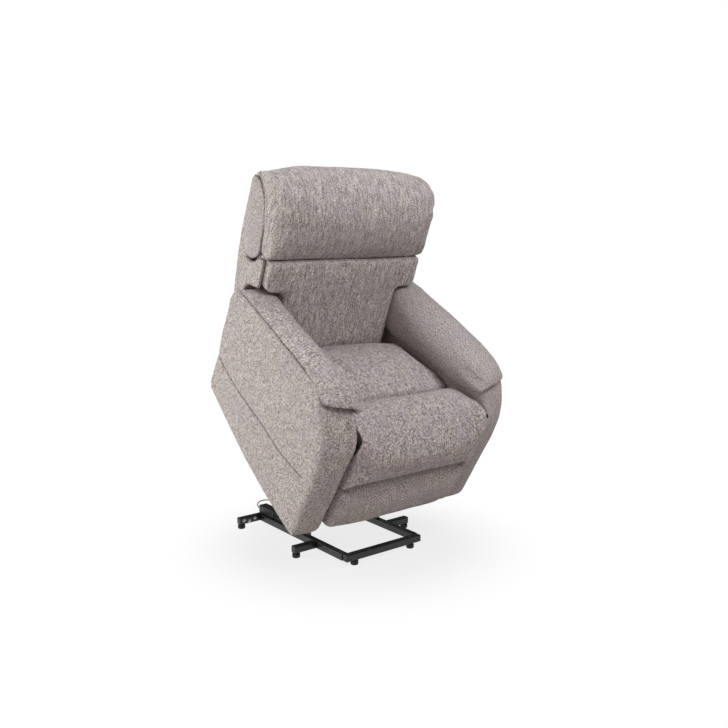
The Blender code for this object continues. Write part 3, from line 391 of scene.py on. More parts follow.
def meshFrom(name, maker):
    bmesh.ops.remove_doubles(maker, verts=maker.verts, dist=1e-5)
    bmesh.ops.recalc_face_normals(maker, faces=maker.faces)
    if maker.calc_volume(signed=True) < 0:
        bmesh.ops.reverse_faces(maker, faces=maker.faces)
    mesh = bpy.data.meshes.new(name)
    maker.to_mesh(mesh)
    maker.free()
    return link(bpy.data.objects.new(name, mesh))


def bridged(maker, rings):                 # a closed solid through rings of world points
    made = [[maker.verts.new(point) for point in ring] for ring in rings]
    count = len(made[0])
    for low, high in zip(made, made[1:]):
        for k in range(count):
            maker.faces.new((low[k], low[(k + 1) % count], high[(k + 1) % count], high[k]))
    maker.faces.new(made[0])
    maker.faces.new(list(reversed(made[-1])))


def lofted(name, rings):                   # the same through rings of seat-frame points
    maker = bmesh.new()
    bridged(maker, [toWorld(ring) for ring in rings])
    return meshFrom(name, maker)


def copied(name, *nodes):                  # a new mesh in the shape of CAD nodes
    maker = bmesh.new()
    for node in nodes:
        maker.from_mesh(frame["nodes"][node].data)
    return meshFrom(name, maker)


def evaluated(thing):
    graph = bpy.context.evaluated_depsgraph_get()
    mesh = bpy.data.meshes.new_from_object(thing.evaluated_get(graph))
    thing.modifiers.clear()
    thing.data = mesh
    return thing


def refined(thing, levels=1):
    step = thing.modifiers.new("refine", "SUBSURF")
    step.levels = levels
    return evaluated(thing)


def softened(thing, voxel, rounds=3, shrink=0.0):  # an even mesh, its edges rounded off
    step = thing.modifiers.new("voxels", "REMESH")
    step.mode = "VOXEL"
    step.voxel_size = voxel
    mesh = evaluated(thing).data
    points = smoothed(pointsOf(mesh), edgesOf(mesh), rounds)
    setPoints(mesh, points)
    if shrink:
        setPoints(mesh, points - normalsOf(mesh) * shrink)


simulation = {"steps": 20, "mass": 0.3, "pull": 15.0, "shear": 5.0, "bend": 0.5, "quality": 5}


def puffed(thing, pinned, sizes):
    # swells a closed mesh like a filled cover; pinned points stay, and none moves further than the cap
    rest = pointsOf(thing.data)
    group = thing.vertex_groups.new(name="pinned")
    group.add([int(k) for k in np.nonzero(pinned)[0]], 1.0, "REPLACE")
    step = thing.modifiers.new("filled", "CLOTH")
    cloth = step.settings
    cloth.vertex_group_mass = "pinned"
    cloth.use_pressure = True
    cloth.uniform_pressure_force = sizes["pressure"]
    cloth.quality = simulation["quality"]
    cloth.mass = simulation["mass"]
    cloth.tension_stiffness = cloth.compression_stiffness = simulation["pull"]
    cloth.shear_stiffness = simulation["shear"]
    cloth.bending_stiffness = simulation["bend"]
    cloth.effector_weights.gravity = 0
    step.collision_settings.use_collision = False
    step.collision_settings.use_self_collision = False
    for number in range(1, simulation["steps"] + 1):
        bpy.context.scene.frame_set(number)
    evaluated(thing)
    bpy.context.scene.frame_set(1)
    thing.vertex_groups.clear()
    mesh = thing.data
    move = pointsOf(mesh) - rest
    far, cap = np.linalg.norm(move, axis=1, keepdims=True), sizes["cap"]
    move *= np.minimum(1, cap / np.maximum(far, 1e-9))
    setPoints(mesh, rest + smoothed(move, edgesOf(mesh), 2))
    print("  %s swelled by %.1f mm on average, %.1f at most" % (
        thing.name, 1000 * np.minimum(far, cap).mean(), 1000 * min(far.max(), cap)))


def keptInside(thing, half, low=-9.0, high=9.0):     # within half across the chair, and between two heights
    mesh = thing.data
    points = toSeat(pointsOf(mesh))
    points[:, 0] = np.clip(points[:, 0], -half, half)
    points[:, 2] = np.clip(points[:, 2], low, high)
    setPoints(mesh, toWorld(points))


def curveThrough(route, spacing=0.003, steps=0):   # a smooth curve through a route's points
    points = [Vector(point) for point in route]
    points = [2 * points[0] - points[1]] + points + [2 * points[-1] - points[-2]]
    out = []
    for before, start, end, after in zip(points, points[1:], points[2:], points[3:]):
        count = steps or max(2, int((end - start).length / spacing))
        for step in range(count):
            t = step / count
            out.append(0.5 * (2 * start + (end - before) * t
                              + (2 * before - 5 * start + 4 * end - after) * t ** 2
                              + (3 * start - before - 3 * end + after) * t ** 3))
    out.append(points[-2])
    return out


def tubeAlong(name, line, radius, resolution):     # a round tube with capped ends, as a curve
    curve = bpy.data.curves.new(name, "CURVE")
    curve.dimensions = "3D"
    curve.bevel_depth = radius
    curve.bevel_resolution = resolution
    curve.use_fill_caps = True
    spline = curve.splines.new("POLY")
    spline.points.add(len(line) - 1)
    for slot, point in zip(spline.points, line):
        slot.co = (*point, 1)
    return curve


def onSurface(thing, route, spacing=0.003):
    tree = BVHTree.FromPolygons([tuple(v.co) for v in thing.data.vertices],
                                [tuple(p.vertices) for p in thing.data.polygons])
    found = [tree.find_nearest(point) for point in curveThrough(toWorld(route).tolist(), spacing)]
    return [hit[0] for hit in found], [hit[1] for hit in found]


def written(mesh, name, *columns):         # a vector at every point, which the fabric reads
    slot = mesh.attributes.get(name) or mesh.attributes.new(name, "FLOAT_VECTOR", "POINT")
    values = np.stack(np.broadcast_arrays(*columns), 1)
    slot.data.foreach_set("vector", values.astype(np.float32).ravel())


# ripples along a gathered seam: how far they reach, their pitch and how soon they fade
sewing = {"reach": 0.07, "pitch": 0.021, "fade": 0.022, "rowsAtOnce": 20000}


def sewn(thing, seams, puff=0.0, puffReach=0.05, tuck=0.0, tuckWidth=0.008, gather=0.0, streak=0.9):
    # writes how far each point lies from the nearest seam, tucks the mesh in there and fills it between
    mesh = thing.data
    points = pointsOf(mesh)
    across = np.full(len(points), gridless)
    along = np.zeros(len(points))
    for route in seams:
        line, _ = onSurface(thing, route)
        line = np.array([tuple(point) for point in line])
        reach = np.concatenate([[0], np.cumsum(np.linalg.norm(np.diff(line, axis=0), axis=1))])
        for start in range(0, len(points), sewing["rowsAtOnce"]):
            rows = np.arange(start, min(start + sewing["rowsAtOnce"], len(points)))
            apart = (points[rows] ** 2).sum(1)[:, None] + (line ** 2).sum(1)[None] - 2 * points[rows] @ line.T
            nearest = apart.argmin(1)
            best = np.linalg.norm(points[rows] - line[nearest], axis=1)
            closer = best < across[rows]
            across[rows[closer]] = best[closer]
            along[rows[closer]] = reach[nearest[closer]]
    if seams and (puff or tuck or gather):
        lift = puff * (1 - np.exp(-across / puffReach)) - tuck * np.exp(-(across / tuckWidth) ** 2)
        if gather:
            near = across < sewing["reach"]
            ripple = np.sin(along[near] * 2 * pi / sewing["pitch"] + 2.2 * noiseOf(points[near], 22.0))
            share = 0.5 + 0.5 * noiseOf(points[near] + 3.1, 16.0)
            lift[near] += gather * ripple * np.exp(-across[near] / sewing["fade"]) * share
        setPoints(mesh, points + normalsOf(mesh) * lift[:, None])
    written(mesh, "seam", across, along, streak)


def lumpy(thing, height, size, seed=0.0):
    mesh = thing.data
    points = pointsOf(mesh)
    lift = noiseOf(points + seed, 1 / size) * 0.7 + noiseOf(points + seed + 5.0, 2.3 / size) * 0.3
    setPoints(mesh, points + normalsOf(mesh) * (height * lift)[:, None])


def threaded(thing, rule, fine=1.0):       # the fabric's own two directions, in metres, at every point
    mesh = thing.data
    world = normalsOf(mesh)
    normals = np.stack([world[:, 0], world[:, 1] * cos(tilt) + world[:, 2] * sin(tilt),
                        world[:, 2] * cos(tilt) - world[:, 1] * sin(tilt)], 1)
    across, along = (fine * part for part in rule(toSeat(pointsOf(mesh)), normals))
    written(mesh, "thread", across, along, len(thing.name) * 0.37)


def rolledAbout(middleY, middleZ, radius):  # a panel wrapped round a line across the chair
    def rule(seat, normals):
        along = np.arctan2(seat[:, 2] - middleZ, seat[:, 1] - middleY) * radius
        side = np.abs(normals[:, 0]) > squareOn
        return (np.where(side, seat[:, 1], seat[:, 0]), np.where(side, seat[:, 2], along))
    return rule


def facing(seat, normals):                  # a flat-lying or upright panel, by the way it faces
    side = np.abs(normals[:, 0]) > squareOn
    level = np.abs(normals[:, 2]) > squareOn
    across = np.where(side, seat[:, 1], seat[:, 0])
    return across, np.where(level & ~side, seat[:, 1], seat[:, 2])


def dressed(thing, body, *nodes, fill=0.6):
    mesh = thing.data
    mesh.materials.clear()
    mesh.materials.append(fabric)
    mesh.shade_smooth()
    if isinstance(body, str):
        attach(thing, body)
    else:
        tuple(toWorld(body[2]))
        tuple(toWorld(body[3]))
        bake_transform(thing)
    if nodes:
        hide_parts(*nodes)


weltSizes = {"spacing": 0.006, "lift": 0.3, "thinEnd": 0.35, "growth": 0.25}


def piping(name, surface, route, radius, body):
    # a fabric welt that runs along a seam of a finished piece, thinner at its two ends
    w = weltSizes
    line, normals = onSurface(surface, route, w["spacing"])
    line = [point + normal * radius * w["lift"] for point, normal in zip(line, normals)]
    curve = tubeAlong(name, line, radius, 3)
    last = len(line) - 1
    for k, slot in enumerate(curve.splines[0].points):
        slot.radius = min(1, w["thinEnd"] + w["growth"] * k, w["thinEnd"] + w["growth"] * (last - k))
    made = link(bpy.data.objects.new(name, curve))
    graph = bpy.context.evaluated_depsgraph_get()
    mesh = bpy.data.meshes.new_from_object(made.evaluated_get(graph))
    bpy.data.objects.remove(made)
    welt = link(bpy.data.objects.new(name, mesh))
    points = pointsOf(mesh)
    written(mesh, "thread", *points.T)
    written(mesh, "seam", np.full(len(points), gridless), 0.0, 0.5)
    mesh.materials.clear()
    mesh.materials.append(fabric)
    mesh.shade_smooth()
    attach(welt, body)


# ------ arms: a padded box with a bulging front and a seam along its outer side
armSizes = {
    "inner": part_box("arm_left")[0].x + 0.0004, "outer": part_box("arm_left")[1].x,
    "lean": 0.0135, "leanFrom": 0.3, "leanTo": 0.57, "voxel": 0.0075,
    # height, front at the inner edge, front at the outer edge, how far the middle bulges
    "front": [(0.004, 0.004, 0.006, 0.004), (0.03, -0.003, 0.002, 0.01), (0.18, -0.011, 0.003, 0.018),
              (0.335, -0.017, 0.001, 0.019), (0.43, -0.026, 0.012, 0.013), (0.478, -0.019, 0.03, 0.008),
              (0.508, 0.01, 0.046, 0.008), (0.542, 0.042, 0.07, 0.003)],
    "rear": [(0.215, 0.016), (0.426, 0.045), (0.62, 0.09), (0.744, 0.119), (0.7565, 0.15), (0.7565, 0.3),
             (0.7575, 0.45), (0.757, 0.545), (0.75, 0.578), (0.728, 0.6)],
    "crest": [(0.6, 0.6045), (0.4, 0.6045), (0.17, 0.6045), (0.12, 0.596), (0.1, 0.579), (0.086, 0.563)],
    "lowerSeam": [(0.757, 0.287), (0.746, 0.283), (0.661, 0.262), (0.531, 0.25), (0.362, 0.247),
                  (0.199, 0.239), (0.06, 0.252)],
    "puff": 0.0045, "tuck": 0.0022,
    # the hand switch: its middle and half its size, and how the cover is drawn in round it
    "switch": (0.16, 0.45), "switchHalf": (0.03, 0.05), "drawnIn": 0.0008, "drawnWidth": 0.045,
}


def armPiece(side, word):
    a = armSizes

    def ring(share):
        x = a["inner"] + (a["outer"] - a["inner"]) * share
        points = [(x, inner + (outer - inner) * share - bulge * sin(pi * share) ** 0.5, z)
                  for z, inner, outer, bulge in reversed(a["front"])]
        points += [(x, y, z) for y, z in a["rear"] + a["crest"]]
        return [(side * (x + a["lean"] * share * float(eased(z, a["leanFrom"], a["leanTo"]))), y, z)
                for x, y, z in points]

    shares = [0, 0.02, 0.06, 0.14, 0.25, 0.4, 0.55, 0.7, 0.84, 0.93, 0.97, 0.99, 1]
    thing = lofted("arm_panel_" + word, [ring(share) for share in shares])
    softened(thing, a["voxel"], rounds=4)
    refined(thing)
    outer = side * (a["outer"] + 0.004)
    sewn(thing, [[(outer, y, z) for y, z in a["lowerSeam"]]], puff=a["puff"], puffReach=0.06, tuck=a["tuck"],
         tuckWidth=0.007, gather=0.001, streak=0.3)
    lumpy(thing, height=0.0022, size=0.13, seed=side)
    if side > 0:
        seat = toSeat(pointsOf(thing.data))
        past = np.maximum(np.abs(seat[:, 1:] - a["switch"]) - a["switchHalf"], 0)
        limit = a["outer"] - a["drawnIn"] + 0.02 * eased(np.hypot(*past.T), 0.003, a["drawnWidth"])
        seat[:, 0] = np.minimum(seat[:, 0], limit)
        setPoints(thing.data, toWorld(seat))
    threaded(thing, facing, fine=1.12)
    dressed(thing, "chair", "arm_" + word, fill=0.8)


# ------ arm pads: fat bolsters that roll over the top, drape inwards and end in a rolled lip
padSizes = {
    "front": 0.026, "rear": 0.7535, "outer": 0.4425, "slant": 0.046, "drape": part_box("arm_pad_left")[0].x,
    "backing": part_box("arm_left")[0].x - 0.0012,
    # place along the arm, underside, crest
    "levels": [(0.026, 0.567, 0.586), (0.042, 0.568, 0.599), (0.06, 0.5715, 0.608), (0.074, 0.576, 0.6145),
               (0.09, 0.5825, 0.6185), (0.122, 0.5985, 0.625), (0.172, 0.606, 0.633), (0.28, 0.606, 0.639),
               (0.42, 0.606, 0.637), (0.56, 0.606, 0.629), (0.68, 0.6055, 0.619), (0.728, 0.6015, 0.609),
               (0.7535, 0.593, 0.599)],
    "hem": [(-0.1, 0.53), (0.05, 0.53), (0.085, 0.514), (0.11, 0.502), (0.19, 0.476), (0.3, 0.466),
            (0.42, 0.455), (0.52, 0.435), (0.586, 0.418), (1.0, 0.418)],
    "voxel": 0.0063, "shrink": 0.0015, "cap": 0.024, "pressure": 2.2,
    "seamPlaces": (0.215, 0.3, 0.42, 0.56, 0.738),
}


def levelAt(table, y, column=1):
    return float(np.interp(y, [row[0] for row in table], [row[column] for row in table]))


def padPiece(side, word):
    p = padSizes

    def ring(y):
        front = min(1, max(0, (y - p["front"]) / 0.026))
        back = min(1, max(0, (p["rear"] - y) / 0.045))
        full = (1 - (1 - min(front, back)) ** 2) ** 0.5
        low = levelAt(p["levels"], y)
        crest = low + (levelAt(p["levels"], y, 2) - low) * (0.3 + 0.7 * full)
        rise = crest - low
        outer = p["outer"] - 0.004 * (1 - full)
        inner = p["drape"] + 0.002 + 0.016 * (1 - full)
        hem = low - 0.004 + (levelAt(p["hem"], y) - low + 0.004) * full
        middle = (low + hem) / 2
        back = p["backing"]
        points = [(back, low), (outer - 0.004, low), (outer, low + 0.18 * rise),
                  (outer - 0.001, low + 0.34 * rise), (outer - 0.012, low + 0.66 * rise),
                  (outer - 0.034, low + 0.9 * rise), (outer - 0.066, low + 0.99 * rise),
                  (outer - 0.094, crest), (outer - 0.116, low + 0.9 * rise),
                  (inner + 0.022, low + 0.6 * rise), (inner + 0.009, low + 0.05 * rise),
                  (inner + 0.001, middle + 0.3 * (low - middle)), (inner, middle - 0.35 * (middle - hem)),
                  (inner + 0.007, hem + 0.003), (back - 0.006, hem), (back, hem + 0.005)]
        ahead = max(0, 1 - (y - p["front"]) / 0.16) * p["slant"]
        return [(side * x, y + ahead * max(0, (x - inner) / (outer - inner)) ** 2.4, z) for x, z in points]

    shares = [0, 0.006, 0.014, 0.024, 0.036, 0.05, 0.07, 0.1, 0.15, 0.24, 0.36, 0.5, 0.64, 0.78, 0.88, 0.94,
              0.97, 0.99, 1]
    span = p["rear"] - p["front"]
    thing = lofted("arm_bolster_" + word, [ring(p["front"] + span * share) for share in shares])
    softened(thing, p["voxel"], shrink=p["shrink"])
    seat = toSeat(pointsOf(thing.data))
    under = np.array([levelAt(p["levels"], y) for y in seat[:, 1]])
    seamHeight = under + 0.006
    held = (seat[:, 0] * side > p["backing"] - 0.004) & (seat[:, 2] < seamHeight)
    held |= seat[:, 1] > p["rear"] - 0.02
    puffed(thing, held, p)
    refined(thing)
    seam = [(side * p["outer"], y, levelAt(p["levels"], y) + 0.0045) for y in p["seamPlaces"]]
    sewn(thing, [seam], tuck=0.001, tuckWidth=0.006, gather=0.0012, streak=0.3)
    lumpy(thing, height=0.0024, size=0.1, seed=2 * side)

    def wrapped(seatPoints, normals):      # threads run along the arm, and round the bolster across it
        around = np.arctan2(seatPoints[:, 2] - 0.52, side * seatPoints[:, 0] - 0.35) * 0.075
        return around, seatPoints[:, 1]
    threaded(thing, wrapped, fine=1.12)
    dressed(thing, "chair", "arm_pad_" + word, fill=0.75)


# ------ cushions that run across the chair
def acrossRings(half, outline, middle, draw, power, count=14, lift=None):
    # an outline repeated across the chair, drawn in towards its middle at the two ends
    rings = []
    for k in range(count + 1):
        x = half * sin(pi / 2 * (2 * k / count - 1))
        edge = abs(x) / half
        shrink = 1 - draw * edge ** power
        ring = []
        for y, z in outline:
            y, z = middle[0] + (y - middle[0]) * shrink, middle[1] + (z - middle[1]) * shrink
            ring.append((x, y, z + (lift(edge, y, z) if lift else 0)))
        rings.append(ring)
    return rings


seatSizes = {"inside": 0.3128, "voxel": 0.0085, "shrink": 0.0022, "cap": 0.026, "pressure": 1.6}
chaiseSizes = {
    "half": 0.3175, "voxel": 0.0078, "shrink": 0.0022, "cap": 0.026, "pressure": 2.6, "draw": 0.004,
    "inside": 0.3128, "lowInside": 0.3085, "seams": ((0.1885, 0.452), (-0.04, 0.241)), "seamReach": 0.3,
    # the front edge of the swing plates behind the ends: height, place
    "plateFront": [(0.18, 0.018), (0.34, 0.018), (0.408, -0.024), (0.45, -0.033), (0.49, -0.033)],
    "plateInner": 0.306,
    "outline": [(0.189, 0.399), (0.189, 0.447), (0.18, 0.463), (0.15, 0.4755), (0.1, 0.4905),
                (0.05, 0.5015), (0.006, 0.5045), (-0.03, 0.4925), (-0.05, 0.466), (-0.0575, 0.432),
                (-0.058, 0.39), (-0.059, 0.345), (-0.058, 0.3), (-0.0545, 0.262), (-0.045, 0.245),
                (-0.026, 0.2405), (0.0175, 0.2405), (0.0175, 0.385), (0.03, 0.3985)],
    "middle": (0.06, 0.4), "bendFrom": (0.0, 0.015, 0.425), "bendTo": (0.0, -0.035, 0.352),
}
boxFrontSizes = {
    "half": 0.304, "middle": (0.12, 0.33), "voxel": 0.01, "shrink": 0.001,
    "outline": [(0.045, 0.264), (0.045, 0.392), (0.052, 0.397), (0.189, 0.397), (0.189, 0.264)],
}
apronSizes = {
    "half": 0.3115, "inside": 0.3085, "voxel": 0.0078, "shrink": 0.001, "cap": 0.022, "pressure": 1.8,
    "draw": 0.02, "middle": (0.0175, 0.127),
    "outline": [(0.0175, 0.238), (-0.027, 0.2385), (-0.044, 0.231), (-0.052, 0.2), (-0.051, 0.12),
                (-0.045, 0.05), (-0.034, 0.024), (-0.018, 0.0165), (0.0175, 0.0165)],
    "cornerLift": 0.03,
}


def seatPiece():
    s = seatSizes
    thing = copied("seat_cover", "seat_cushion")
    softened(thing, s["voxel"], shrink=s["shrink"])
    seat = toSeat(pointsOf(thing.data))
    low = seat[:, 2].min()
    held = (seat[:, 2] < low + 0.012) | (seat[:, 1] > 0.575) | ((seat[:, 1] < 0.2) & (seat[:, 2] < 0.44))
    puffed(thing, held, s)
    refined(thing)
    keptInside(thing, s["inside"])
    sewn(thing, [[(x, 0.574, 0.411) for x in (-0.3, 0, 0.3)]], tuck=0.003, tuckWidth=0.01, streak=0.55)
    lumpy(thing, height=0.0035, size=0.16, seed=4.0)
    threaded(thing, facing, fine=0.88)
    dressed(thing, "chair", "seat_cushion", fill=0.6)


def chaisePiece():
    c = chaiseSizes
    thing = lofted("chaise_pad", acrossRings(c["half"], c["outline"], c["middle"], c["draw"], 9))
    softened(thing, c["voxel"], shrink=c["shrink"])
    seat = toSeat(pointsOf(thing.data))
    held = (((seat[:, 1] > 0.01) & (seat[:, 2] < 0.404)) | ((seat[:, 1] > 0.182) & (seat[:, 2] < 0.455))
            | (seat[:, 2] < 0.2455))
    puffed(thing, held, c)
    refined(thing)
    keptInside(thing, c["inside"])
    # the ends stand in a little where the steel plates pass between pad and arm
    seat = toSeat(pointsOf(thing.data))
    front = np.interp(seat[:, 2], [z for z, _ in c["plateFront"]], [y for _, y in c["plateFront"]])
    beside = eased(seat[:, 1] - front, -0.009, -0.003) * (1 - eased(seat[:, 1], 0.092, 0.1))
    limit = c["inside"] - (c["inside"] - c["plateInner"]) * beside * (1 - eased(seat[:, 2], 0.487, 0.495))
    low = c["lowInside"] + (c["inside"] - c["lowInside"]) * eased(seat[:, 2], 0.38, 0.44)
    limit = np.minimum(limit, low)
    seat[:, 0] = np.clip(seat[:, 0], -limit, limit)
    setPoints(thing.data, toWorld(seat))
    reach = c["seamReach"]
    seams = [[(x, y, z) for x in (-reach, 0, reach)] for y, z in c["seams"]]
    sewn(thing, seams, tuck=0.0008, tuckWidth=0.009, gather=0.0017, streak=0.55)
    lumpy(thing, height=0.0035, size=0.12, seed=7.0)
    threaded(thing, rolledAbout(0.075, 0.385, radius=0.12), fine=0.9)
    bend = ("chair", "footrest", c["bendFrom"], c["bendTo"])
    dressed(thing, bend, "knee_roll", "calf_pad", fill=0.65)


def boxFrontPiece():
    b = boxFrontSizes
    thing = lofted("seat_box_front", acrossRings(b["half"], b["outline"], b["middle"], 0.0, 2, count=6))
    softened(thing, b["voxel"], rounds=2, shrink=b["shrink"])
    sewn(thing, [])
    threaded(thing, facing)
    dressed(thing, "chair", "knee_roll", fill=0.4)


def apronPiece():
    a = apronSizes
    raised = lambda edge, y, z: a["cornerLift"] * edge ** 10 * max(0, 1 - (z - 0.016) / 0.1)
    rings = acrossRings(a["half"], a["outline"], a["middle"], a["draw"], 7, lift=raised)
    thing = lofted("footrest_panel", rings)
    softened(thing, a["voxel"], shrink=a["shrink"])
    seat = toSeat(pointsOf(thing.data))
    held = (seat[:, 1] > 0.006) | (seat[:, 2] > 0.236)
    puffed(thing, held, a)
    refined(thing)
    keptInside(thing, a["inside"])
    sewn(thing, [], streak=0.55)
    lumpy(thing, height=0.0026, size=0.12, seed=9.0)
    threaded(thing, facing)
    dressed(thing, "footrest", "footrest_apron", fill=0.5)


# ------ the back
headSizes = {
    "half": 0.384, "cadHalf": 0.382, "under": 0.7575, "recess": 0.37, "voxel": 0.008, "shrink": 0.0045,
    "cap": 0.026, "pressure": 2.2, "weltRadius": 0.0026,
    "welt": [(0.37, 0.905, 1.03), (0.372, 0.862, 1.0), (0.376, 0.806, 0.957), (0.378, 0.78, 0.915),
             (0.379, 0.764, 0.865), (0.378, 0.755, 0.812), (0.372, 0.752, 0.777), (0.362, 0.757, 0.757)],
}
lumbarSizes = {
    "half": 0.2775, "wingHalf": 0.372, "inside": 0.369, "top": 0.7562, "voxel": 0.008,
    "shrink": 0.002, "cap": 0.024, "pressure": 1.8,
    # the section at the middle, from the low rear corner round the back and down the front
    "outline": [(0.606, 0.302), (0.636, 0.302), (0.6835, 0.4), (0.6985, 0.5), (0.729, 0.64),
                (0.734, 0.665), (0.758, 0.762), (0.712, 0.762), (0.664, 0.762), (0.658, 0.744),
                (0.655, 0.715), (0.649, 0.685), (0.6445, 0.648), (0.641, 0.62), (0.632, 0.56), (0.62, 0.5),
                (0.604, 0.43), (0.595, 0.39), (0.594, 0.33)],
    # along a wing: how far out, its underside, its rear
    "wing": [(0.279, 0.628, 0.758), (0.3, 0.628, 0.774), (0.33, 0.63, 0.776), (0.352, 0.633, 0.776),
             (0.364, 0.64, 0.775), (0.372, 0.658, 0.77)],
}
shellSizes = {
    "voxel": 0.01, "seamIn": 0.004,
    "seam": [(0.812, 0.33), (0.852, 0.47), (0.892, 0.6), (0.922, 0.742), (0.94, 0.886), (0.942, 0.97)],
}
gussetSizes = {
    "headrest_gusset": {
        "middle": (0.83, 0.85), "x": 0.38, "bulge": 0.013, "thick": 0.008,
        "outline": [(0.905, 1.003), (0.862, 0.999), (0.826, 0.976), (0.797, 0.95), (0.776, 0.915),
                    (0.758, 0.865), (0.749, 0.811), (0.742, 0.773), (0.748, 0.742), (0.783, 0.708),
                    (0.828, 0.704), (0.866, 0.741), (0.886, 0.795), (0.9, 0.853), (0.912, 0.93),
                    (0.92, 0.98)],
    },
    "lumbar_gusset": {
        "middle": (0.77, 0.662), "x": 0.378, "bulge": 0.009, "thick": 0.008,
        "outline": [(0.826, 0.698), (0.784, 0.702), (0.762, 0.716), (0.744, 0.738), (0.722, 0.75),
                    (0.704, 0.748), (0.697, 0.72), (0.692, 0.68), (0.689, 0.64), (0.696, 0.628),
                    (0.728, 0.617), (0.752, 0.606), (0.766, 0.59), (0.771, 0.56), (0.776, 0.515),
                    (0.8, 0.505), (0.814, 0.56), (0.826, 0.61), (0.834, 0.66), (0.836, 0.688)],
    },
    # fabric over the side of the timber frame, where it shows behind the arm
    "frame_side": {
        "middle": (0.72, 0.52), "x": 0.276, "bulge": 0.003, "thick": 0.003,
        "outline": [(0.664, 0.6), (0.64, 0.5), (0.626, 0.43), (0.65, 0.42), (0.76, 0.42), (0.8, 0.5),
                    (0.818, 0.6), (0.822, 0.64), (0.7, 0.64)],
    },
}


def headPiece():
    h = headSizes
    thing = copied("headrest_cover", "headrest_cushion")
    softened(thing, h["voxel"], shrink=h["shrink"])
    seat = toSeat(pointsOf(thing.data))
    edge = np.abs(seat[:, 0]) / h["cadHalf"]
    low = (1 - eased(seat[:, 2], 0.78, 0.88)) * (seat[:, 1] < 0.84)
    seat[:, 2] -= (0.009 * edge ** 5 + 0.008) * low
    seat[:, 1] -= (0.008 * edge ** 5 + 0.006) * low * (seat[:, 1] < 0.76)
    setPoints(thing.data, toWorld(seat))
    keptInside(thing, h["half"], low=h["under"])
    seat = toSeat(pointsOf(thing.data))
    held = (seat[:, 2] < 0.765) | ((seat[:, 1] > 0.832) & (seat[:, 2] < 1.002))
    puffed(thing, held, h)
    refined(thing)
    # behind the welt the ends stand back, and the gussets lie in the hollow
    points = toSeat(pointsOf(thing.data))
    welt = sorted((z, y) for _, y, z in h["welt"])
    behind = points[:, 1] - np.interp(points[:, 2], [z for z, _ in welt], [y for _, y in welt])
    hollow = eased(behind, 0.002, 0.01) * (1 - eased(points[:, 2], 1.0, 1.016)) * (points[:, 2] < 1.02)
    limit = 0.4 - (0.4 - h["recess"]) * hollow
    points[:, 0] = np.clip(points[:, 0], -limit, limit)
    setPoints(thing.data, toWorld(points))
    lines = {side: [(side * x, y, z) for x, y, z in h["welt"]] for side in sides.values()}
    sewn(thing, list(lines.values()), tuck=0.0012, tuckWidth=0.008, gather=0.0012, streak=1.0)
    lumpy(thing, height=0.004, size=0.15, seed=11.0)
    threaded(thing, rolledAbout(0.8, 0.9, radius=0.14))
    dressed(thing, "back", "headrest_cushion", fill=0.75)
    for word, side in sides.items():
        piping("headrest_welt_" + word, thing, lines[side], h["weltRadius"], "back")


def lumbarPiece():
    b = lumbarSizes

    def ring(x):
        reach = abs(x)
        if reach <= b["half"]:
            pull = 0.14 * (reach / b["half"]) ** 8
            return [(x, y + (0.7 - y) * pull if y < 0.66 and 0.31 < z < 0.64 else y, z)
                    for y, z in b["outline"]]
        under, rear = levelAt(b["wing"], reach), levelAt(b["wing"], reach, 2)
        edge = (reach - b["half"]) / (b["wingHalf"] - b["half"])
        count = sum(z < 0.646 for _, z in b["outline"])
        points = []
        for k, (y, z) in enumerate(b["outline"]):
            if z < 0.646:                  # the underside, in even steps from front to rear
                step = (k + 6 if k < 5 else k - 13) / (count - 1)
                y, z = 0.648 + (rear - 0.02 - 0.648) * step, under
            elif k in (5, 6):
                y = rear
            points.append((x, y + 0.01 * edge ** 4 * (1 if y < 0.7 else 0), z))
        return points

    inner = [b["half"] * share for share in (0, 0.4, 0.7, 0.88, 0.97, 1)]
    outer = [row[0] for row in b["wing"]]
    half = inner + outer
    thing = lofted("lumbar_cover", [ring(-x) for x in reversed(half[1:])] + [ring(x) for x in half])
    softened(thing, b["voxel"], shrink=b["shrink"])
    keptInside(thing, b["inside"], high=b["top"])
    seat = toSeat(pointsOf(thing.data))
    held = ((seat[:, 2] > 0.748) | (seat[:, 2] < 0.312) | (seat[:, 1] > 0.7)
            | ((np.abs(seat[:, 0]) > 0.27) & (seat[:, 2] < 0.655)))
    puffed(thing, held, b)
    refined(thing)
    sewn(thing, [[(side * 0.363, 0.69, 0.752), (side * 0.364, 0.69, 0.7), (side * 0.356, 0.68, 0.655)]
                 for side in sides.values()], tuck=0.0015, tuckWidth=0.009, gather=0.0014, streak=1.0)
    lumpy(thing, height=0.004, size=0.15, seed=13.0)
    threaded(thing, facing)
    dressed(thing, "back", "lumbar_cushion", fill=0.6)


def shellPiece():
    thing = copied("back_cover", "back_shell")
    softened(thing, shellSizes["voxel"])
    refined(thing)
    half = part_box("back_shell")[1].x
    edge = half - shellSizes["seamIn"]
    lines = [[(side * edge, y, z) for y, z in shellSizes["seam"]] for side in sides.values()]
    sewn(thing, lines, puff=0.003, puffReach=0.08, tuck=0.0015, tuckWidth=0.008, streak=0.35)
    lumpy(thing, height=0.0025, size=0.16, seed=15.0)
    threaded(thing, facing)
    dressed(thing, "back", "back_shell", fill=0.5)


